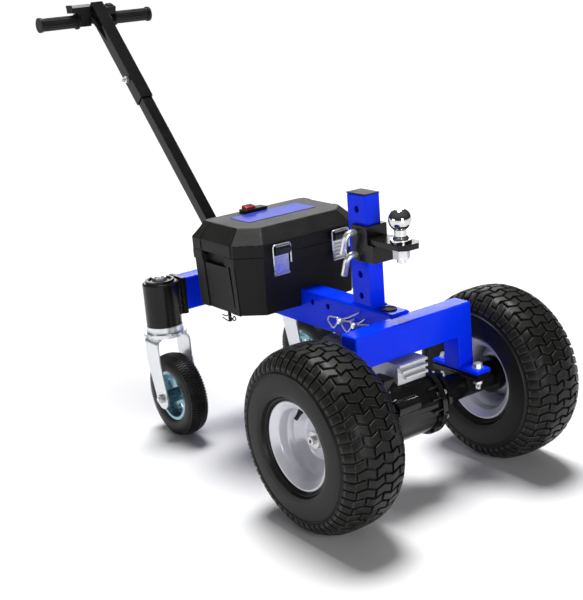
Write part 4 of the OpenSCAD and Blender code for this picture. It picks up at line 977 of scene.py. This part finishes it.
def octagon(rear, front, side, front_cut, rear_cut, z):
    """The eight corners of the case's plan at a height."""
    half = ((rear, side - rear_cut), (rear + rear_cut, side),
            (front - front_cut, side), (front, side - front_cut))
    return [at(x, -y, z) for x, y in half] + [at(x, y, z) for x, y in half[::-1]]


def case_level(margin, z):
    """The case's plan with a margin all round."""
    grow = CORNER_PART * margin
    return octagon(CASE_REAR - margin, CASE_FRONT + margin, CASE_SIDE + margin,
                   FRONT_CUT + grow, REAR_CUT + grow, z)


def rectangle(x1, x2, y1, y2, z):
    """Four corners at a height, in millimetres from the axle."""
    return [at(x, y, z) for x, y in ((x1, y1), (x2, y1), (x2, y2), (x1, y2))]


def add_shell(bm, levels):
    """Joins levels of equal count into a closed shell, with a cap on the first and the last."""
    rings = [[bm.verts.new(p) for p in level] for level in levels]
    for here, there in zip(rings, rings[1:]):
        join_rings(bm, here, there)
    for ring in (rings[0], rings[-1]):
        bm.faces.new(ring)
    bmesh.ops.recalc_face_normals(bm, faces=bm.faces)


def add_block_of(bm, low, high):
    """A plain box between two corners given in millimetres from the axle."""
    add_shell(bm, [rectangle(low[0], high[0], low[1], high[1], z) for z in (low[2], high[2])])


# %% Cutting and joining meshes
def as_object(bm):
    """A passing object for a mesh under construction."""
    mesh = bpy.data.meshes.new("passing")
    bm.to_mesh(mesh)
    bm.free()
    thing = bpy.data.objects.new("passing", mesh)
    scene.collection.objects.link(thing)
    return thing


def carved(bm, tool, operation="DIFFERENCE"):
    """The mesh after an exact boolean with a tool mesh; both are used up."""
    body, cutter = as_object(bm), as_object(tool)
    modifier = body.modifiers.new("cut", "BOOLEAN")
    modifier.operation = operation
    modifier.solver = "EXACT"
    modifier.object = cutter
    result = bmesh.new()
    result.from_object(body, bpy.context.evaluated_depsgraph_get())
    for thing in (body, cutter):
        bpy.data.objects.remove(thing)
    return result


# %% The case: shell, bands, pockets and grooves
MOULD_EDGE = 2.6
POCKET_REAR, POCKET_FRONT, POCKET_LOW = -500, -408, 447
POCKET_FLOOR = CASE_SIDE - 12
TUNNEL = ((-570, -25.5, 330), (-300, 25.5, 380))
# Margin and height, up the outside and down the inside
CASE_LEVELS = ((-7, 340), (-1.2, 453), (4, 453), (4, SEAM_Z), (-4, SEAM_Z), (-11, 344))
# Rear, front, inner face and height of a groove that tapers downwards
GROOVE_LEVELS = ((-394, -390, 163, 356), (-399, -391, 165, 452.8))
BAND_ENDS = ((-534, POCKET_REAR), (POCKET_FRONT, -376))
# Outer face and height of the raised end bands
BAND_LEVELS = ((CASE_SIDE - 4, 340.2), (CASE_SIDE + 2, 464))
tools, shell, extras = bmesh.new(), bmesh.new(), bmesh.new()
add_shell(shell, [case_level(margin, z) for margin, z in CASE_LEVELS])
add_block_of(tools, *TUNNEL)
for sign in SIDES.values():
    add_block_of(tools, (POCKET_REAR, sign * POCKET_FLOOR, POCKET_LOW), (POCKET_FRONT, sign * 200, 480))
    add_shell(tools, [rectangle(x1, x2, sign * y, sign * 190, z) for x1, x2, y, z in GROOVE_LEVELS])
    for x1, x2 in BAND_ENDS:
        add_shell(extras, [rectangle(x1, x2, sign * 150, sign * out, z) for out, z in BAND_LEVELS])
shell = carved(carved(shell, extras, "UNION"), tools)
ease_edges(shell, MOULD_EDGE)
print("Case shell:", len(shell.faces), "faces")

# %% The case: inner walls and hinge
HINGE_X, HINGE_Y, HINGE_Z = -556, 94, 479
KNUCKLE_RADIUS = 5
LEAF_FRONT = -547.9
WALL_MM = 4
TUNNEL_WALLS = (((-536, -29.5, 380.1), (-336, 29.5, 384)), ((-536, -29.5, 343), (-336, -25.6, 384)),
                ((-536, 25.6, 343), (-336, 29.5, 384)))


def add_knuckle(bm, y, half):
    """A closed roll of the hinge about its pin."""
    outline = ((0.2, -half), (KNUCKLE_RADIUS, -half), (KNUCKLE_RADIUS, half), (0.2, half))
    turn(bm, [mm(*p) for p in outline], 20, at(HINGE_X, y, HINGE_Z), closed=False)


for low, high in TUNNEL_WALLS:
    add_block_of(shell, low, high)
for sign in SIDES.values():
    low = (POCKET_REAR - WALL_MM, sign * (POCKET_FLOOR - WALL_MM), POCKET_LOW - WALL_MM)
    add_block_of(shell, low, (POCKET_FRONT + WALL_MM, sign * (POCKET_FLOOR - 0.1), SEAM_Z - 0.2))
    add_block_of(shell, low, (POCKET_FRONT + WALL_MM, sign * 166, POCKET_LOW - 0.1))
    for y in (sign * HINGE_Y - 16, sign * HINGE_Y + 16):
        add_block_of(shell, (-561, y - 4, 461), (LEAF_FRONT, y + 4, 472))
        add_knuckle(shell, y, 4)
        add_block_of(shell, (-561, y - 4, 471), (-551, y + 4, HINGE_Z))
    sweep(shell, [at(HINGE_X, sign * HINGE_Y + k, HINGE_Z) for k in (-20, 20)], 2.5 * MM, 12)
even_normals(add_piece("battery_case_moulded", shell, FINISH["case_plastic"], BODY_OF["battery_case"],
                       ["battery_case"]))
print("Battery case with pocket walls and hinge leaves")

# %% The lid
# Rear, front, side, front cut and rear cut of the flat top, outside and inside
PLATEAU = (-535, -356, 142, 36, 12)
PLATEAU_INSIDE = (-531, -360, 138, 36, 12)
LID_LOW = SEAM_Z + 0.4
# Rear end, and front end at the top and at the foot, of the raised bands
LID_BANDS = ((-526, POCKET_REAR, POCKET_REAR), (POCKET_FRONT, -394, -380))
shell, extras = bmesh.new(), bmesh.new()
add_shell(shell, [octagon(*PLATEAU_INSIDE, TOP_Z - 4), case_level(0, BAND_Z), case_level(0, LID_LOW),
                  case_level(4, LID_LOW), case_level(4, BAND_Z), octagon(*PLATEAU, TOP_Z)])
for sign in SIDES.values():
    for rear, top_end, foot_end in LID_BANDS:
        levels = ((172, 175.4, foot_end, SEAM_Z + 0.6), (172, 175.4, foot_end, BAND_Z + 0.6),
                  (139, 142.8, top_end, TOP_Z + 0.4))
        add_shell(extras, [rectangle(rear, end, sign * inner, sign * outer, z)
                           for inner, outer, end, z in levels])
shell = carved(shell, extras, "UNION")
ease_edges(shell, MOULD_EDGE)
for sign in SIDES.values():
    add_knuckle(shell, sign * HINGE_Y, 11)
    add_block_of(shell, (HINGE_X, sign * HINGE_Y - 11, 475.5), (LEAF_FRONT, sign * HINGE_Y + 11, 484))
even_normals(add_piece("box_lid_moulded", shell, FINISH["case_plastic"], BODY_OF["box_lid"],
                       ["box_lid"]))
print("Lid: sloped shell with raised end bands")

# %% [markdown]
# ## The switch and the latches on the case
# The power switch is a red rocker in a long black base. Each latch has a ribbed black roller on
# the lid, a wire bail round it and a pressed plate below: the right plate carries a plain blue
# insert, the left one has louvres. In the frame each of these is one solid of one colour; built
# again from boxes, a turned roller and a swept wire they can be in the colours they have.

# %% The power switch
BASE_MM = 9
ROCKER_LEAN = math.radians(8)
switch_low, switch_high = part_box("power_switch")
switch_top = switch_low.z + BASE_MM * MM
bm = bmesh.new()
add_box(bm, switch_low, (switch_high.x, switch_high.y, switch_top), 2.0, 0)
tilt = Matrix.Translation((middle("power_switch").x, 0, switch_top)) @ Matrix.Rotation(ROCKER_LEAN, 4, "Y")
rocker_low = mm(-11, 4, -2) + Vector((0, switch_low.y, 0))
rocker_high = mm(11, 33, 8) + Vector((0, switch_low.y, 0))
add_box(bm, rocker_low, rocker_high, 4.0, 1, tilt)
even_normals(add_piece("power_switch_rocker", bm, [FINISH["case_plastic"], FINISH["switch_red"]],
                       BODY_OF["power_switch"], ["power_switch"]))
print("Power switch: base and rocker")

# %% A latch plate
LATCH_Y = 82
PLATE_HALF = 19.5 * MM
PLATE_THICK = 5 * MM
ROLLED_EDGE = 3 * MM
LOUVRES = 4
LOUVRE_FIRST, LOUVRE_PITCH = 8, 8.6
LOUVRE_LEAN = math.radians(24)
lever_low, lever_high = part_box("latch_levers")
face_x = lever_low.x


def add_lever(bm, y, louvred):
    """A latch plate with a rolled lower edge, and louvres or a plain insert on its face."""
    low, top = lever_low.z + ROLLED_EDGE, lever_high.z
    corner = Vector((face_x, y, low))
    add_box(bm, corner - Vector((0, PLATE_HALF, 0)), (face_x + PLATE_THICK, y + PLATE_HALF, top), 0.8, 0)
    sweep(bm, [corner + Vector((4 * MM, k * PLATE_HALF, 0)) for k in (-1, 1)], ROLLED_EDGE, 14)
    if not louvred:
        add_box(bm, corner + mm(4, -15.5, 6), Vector((face_x, y, top)) + mm(5.8, 15.5, -5), 0.5, 1)
    for i in range(LOUVRES if louvred else 0):
        middle_of_louvre = corner + mm(5, 0, LOUVRE_FIRST + LOUVRE_PITCH * i)
        lean = Matrix.Translation(middle_of_louvre) @ Matrix.Rotation(LOUVRE_LEAN, 4, "Y")
        add_box(bm, mm(-1.5, -15, -2.6), mm(1.8, 15, 2.6), 0.7, 0, lean)


# %% Rollers, bails and the whole latches
ROLLER_HALF, ROLLER_RADIUS, ROLLER_TALL = 19.5, 9.0, 1.22
RIB_PITCH, RIB_DEEP = 1.5, 0.7
BAIL_HALF, BAIL_FOOT, BAIL_TOP = 23.25, -32, 12.6
BAIL_WIRE = 1.75 * MM
roll_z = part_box("box_lid")[0].z + 11.6 * MM


def add_catch(bm, y):
    """A ribbed roller, a little taller than deep, with the wire bail that hooks over it."""
    place = Vector((face_x + 9 * MM, y, roll_z))
    ribs = [mm(ROLLER_RADIUS - RIB_DEEP * (k % 4 in (2, 3)), RIB_PITCH * k - ROLLER_HALF) for k in range(27)]
    first = len(bm.verts)
    turn(bm, [mm(0.5, -ROLLER_HALF)] + ribs + [mm(0.5, ROLLER_HALF)], 28, place, closed=False, material=1)
    bm.verts.ensure_lookup_table()
    for vert in bm.verts[first:]:
        vert.co.z = roll_z + ROLLER_TALL * (vert.co.z - roll_z)
    corners = ((-BAIL_HALF, BAIL_FOOT), (-BAIL_HALF, BAIL_TOP), (BAIL_HALF, BAIL_TOP), (BAIL_HALF, BAIL_FOOT))
    wire = rounded([mm(*p) for p in corners], 6 * MM, 5)
    sweep(bm, [place + Vector((0, p.x, p.y)) for p in wire], BAIL_WIRE, 10)


levers, catches = bmesh.new(), bmesh.new()
for side, sign in SIDES.items():
    add_lever(levers, sign * LATCH_Y * MM, side == "left")
    add_catch(catches, sign * LATCH_Y * MM)
even_normals(add_piece("latch_plates", levers, [FINISH["zinc"], FINISH["panel_blue"]],
                       BODY_OF["latch_levers"], ["latch_levers"]))
add_piece("latch_rollers", catches, [FINISH["zinc"], BLACK_RUBBER], BODY_OF["latch_bails"],
          ["latch_bails"])
print("Latches: plates, rollers and bails")

# %% [markdown]
# ## Lock pins in the spine
# Two pins stand in the spine, each held by a bent wire: a D-shaped loop hangs behind the pin's
# end and two legs lie along the tube. Wire is best swept along a few points with rounded corners.

# %% Lock pins and their wires
PIN_X = (-186, -139)
PIN_Z, WIRE_Z = 336, 338
PIN_RADIUS, PIN_TIP = 6, -41
WIRE = 1.6 * MM
D_LOOP = ((-8, 5), (-40, 2), (-45, -7), (-27, -25), (-10, -6))
# The upper and the lower leg of each pin's wire
LEGS = ((((0, 3), (26, 12), (62, 30)), ((0, -2), (22, 2), (40, 10))),
        (((0, 3), (18, 9), (34, 20)), ((0, -2), (20, 4), (43, 9))))
pin_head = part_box("spine_pins")[1].y / MM


def add_wire(bm, x, y, points, radius, closed=False):
    """A bent wire in a plane beside the spine, from points that start at a pin."""
    line = rounded([mm(*p) for p in points], radius * MM, 4, closed)
    sweep(bm, [at(x, y, WIRE_Z) + Vector((p.x, 0, p.y)) for p in line], WIRE, 8, closed)


bm = bmesh.new()
for x, legs in zip(PIN_X, LEGS):
    outline = ((0.4, pin_head), (PIN_RADIUS, pin_head), (PIN_RADIUS, PIN_TIP + 2), (4.6, PIN_TIP),
               (0.4, PIN_TIP))
    turn(bm, [mm(*p) for p in outline], 24, at(x, 0, PIN_Z), closed=False)
    add_wire(bm, x, -34, D_LOOP, 9, True)
    for k, leg in enumerate(legs):
        add_wire(bm, x, -33 + 4 * k, leg, 8)
    sweep(bm, [at(x - 11, -34, WIRE_Z + 2), at(x + 6, -34, WIRE_Z + 2)], 2 * WIRE, 10)
add_piece("spine_pins_wired", bm, FINISH["zinc"], BODY_OF["spine_pins"], ["spine_pins"])
print("Lock pins:", len(PIN_X))

# %% [markdown]
# ## Weld beads
# Where tubes meet, the weld leaves a rippled bead under the paint. A bump would not show in the
# outline of the corner, so each bead is a thin swept tube whose thickness wavers from point to
# point; a fixed random seed keeps it the same on every run.

# %% Weld beads
WELD_STEP = 3 * MM
WELD_JITTER = 0.3
FRONT_WELD_X, REAR_WELD_X = -32.5, -630.5
random.seed(7)


def add_weld(bm, corners, thick, closed=False):
    """A rippled bead along straight runs between corners, in steps of three millimetres."""
    points = []
    for first, last in zip(corners, corners[1:] + corners[:1] if closed else corners[1:]):
        steps = max(2, int((last - first).length / WELD_STEP))
        points += [first.lerp(last, k / steps) for k in range(steps)]
    if not closed:
        points.append(corners[-1])
    radii = [thick * random.uniform(0.75, 1.25) * MM for _ in points]
    shaken = [p + mm(*[random.uniform(-WELD_JITTER, WELD_JITTER) for _ in range(3)]) for p in points]
    sweep(bm, shaken, radii, 8, closed)


bm = bmesh.new()
post_foot = ((-157.5, -20.5), (-96.5, -20.5), (-96.5, 20.5), (-157.5, 20.5))
add_weld(bm, [at(x, y, 380.6) for x, y in post_foot], 2.6, True)
for y in (-25.5, 25.5):
    add_weld(bm, [at(FRONT_WELD_X, y, z) for z in (306, 374)], 2.4)
add_weld(bm, [at(FRONT_WELD_X, y, 375.8) for y in (-25, 25)], 2.4)
for y in (-25.5, 25.5):
    add_weld(bm, [at(REAR_WELD_X, y, z) for z in (304, 376)], 2.4)
add_piece("weld_beads", bm, FINISH["frame_blue"], "chassis")
print("Weld beads laid")

# %% [markdown]
# ## Valves, case bolts and the clip under the case
# Each rim has a rubber valve in its slope, the gear case is held round its seam by plated bolts,
# and a bent wire clip hangs under the case. All three are small, but they are what the eye finds
# in the plain areas beside them.

# %% Valves
# Reach, height above the axle and radius along a valve
VALVE = ((43, 73, 6.5), (46, 70, 6.5), (50, 66, 4.6), (53, 63, 4.2), (58, 58, 4.2), (60, 56, 3.6))
for side, sign in SIDES.items():
    hub = middle("drive_rim_" + side)
    bm = bmesh.new()
    sweep(bm, [hub + mm(2, sign * y, z) for y, z, _ in VALVE], [r * MM for _, _, r in VALVE], 14)
    add_piece("valve_" + side, bm, BLACK_RUBBER, BODY_OF["drive_rim_" + side])
print("Valves:", len(SIDES))

# %% Gear-case bolts
BOLTS = 8
BOLT_CIRCLE = 67 * MM
FIRST_BOLT = 26
TOP_FREE = 55 * MM
bm = bmesh.new()
gear = at(0, 0, 190.5)
for k in range(BOLTS):
    spoke = round_axle(math.radians(FIRST_BOLT + 360 / BOLTS * k), BOLT_CIRCLE, 0)
    if spoke.z < TOP_FREE:
        add_bolt(bm, gear + spoke + mm(0, 26, 0), (0, 1, 0), 10 * MM, 6 * MM, 0, 0, 1.2)
        add_bolt(bm, gear + spoke + mm(0, 14, 0), (0, -1, 0), 10 * MM, 6 * MM, 2 * MM, 1, 1.2)
add_piece("gear_case_bolts", bm, [YELLOW_ZINC, FINISH["black_casting"]], "chassis")
print("Gear-case bolts")

# %% The clip under the case
CLIP_WAVE = ((-24, -34), (-6, -34), (4, -27), (14, -36), (26, -40), (33, -33), (26, -27), (12, -42), (2, -45),
             (-24, -41))
bm = bmesh.new()
stem = at(-492, -120, 340)
sweep(bm, [stem, stem - mm(0, 0, 44)], 4 * MM, 14)
sweep(bm, [stem + mm(p.x, -4.5, p.y) for p in rounded(CLIP_WAVE, 6, 4)], 1.4 * MM, 8)
add_piece("case_clip", bm, FINISH["black_steel"], "chassis")
print("Clip under the case")
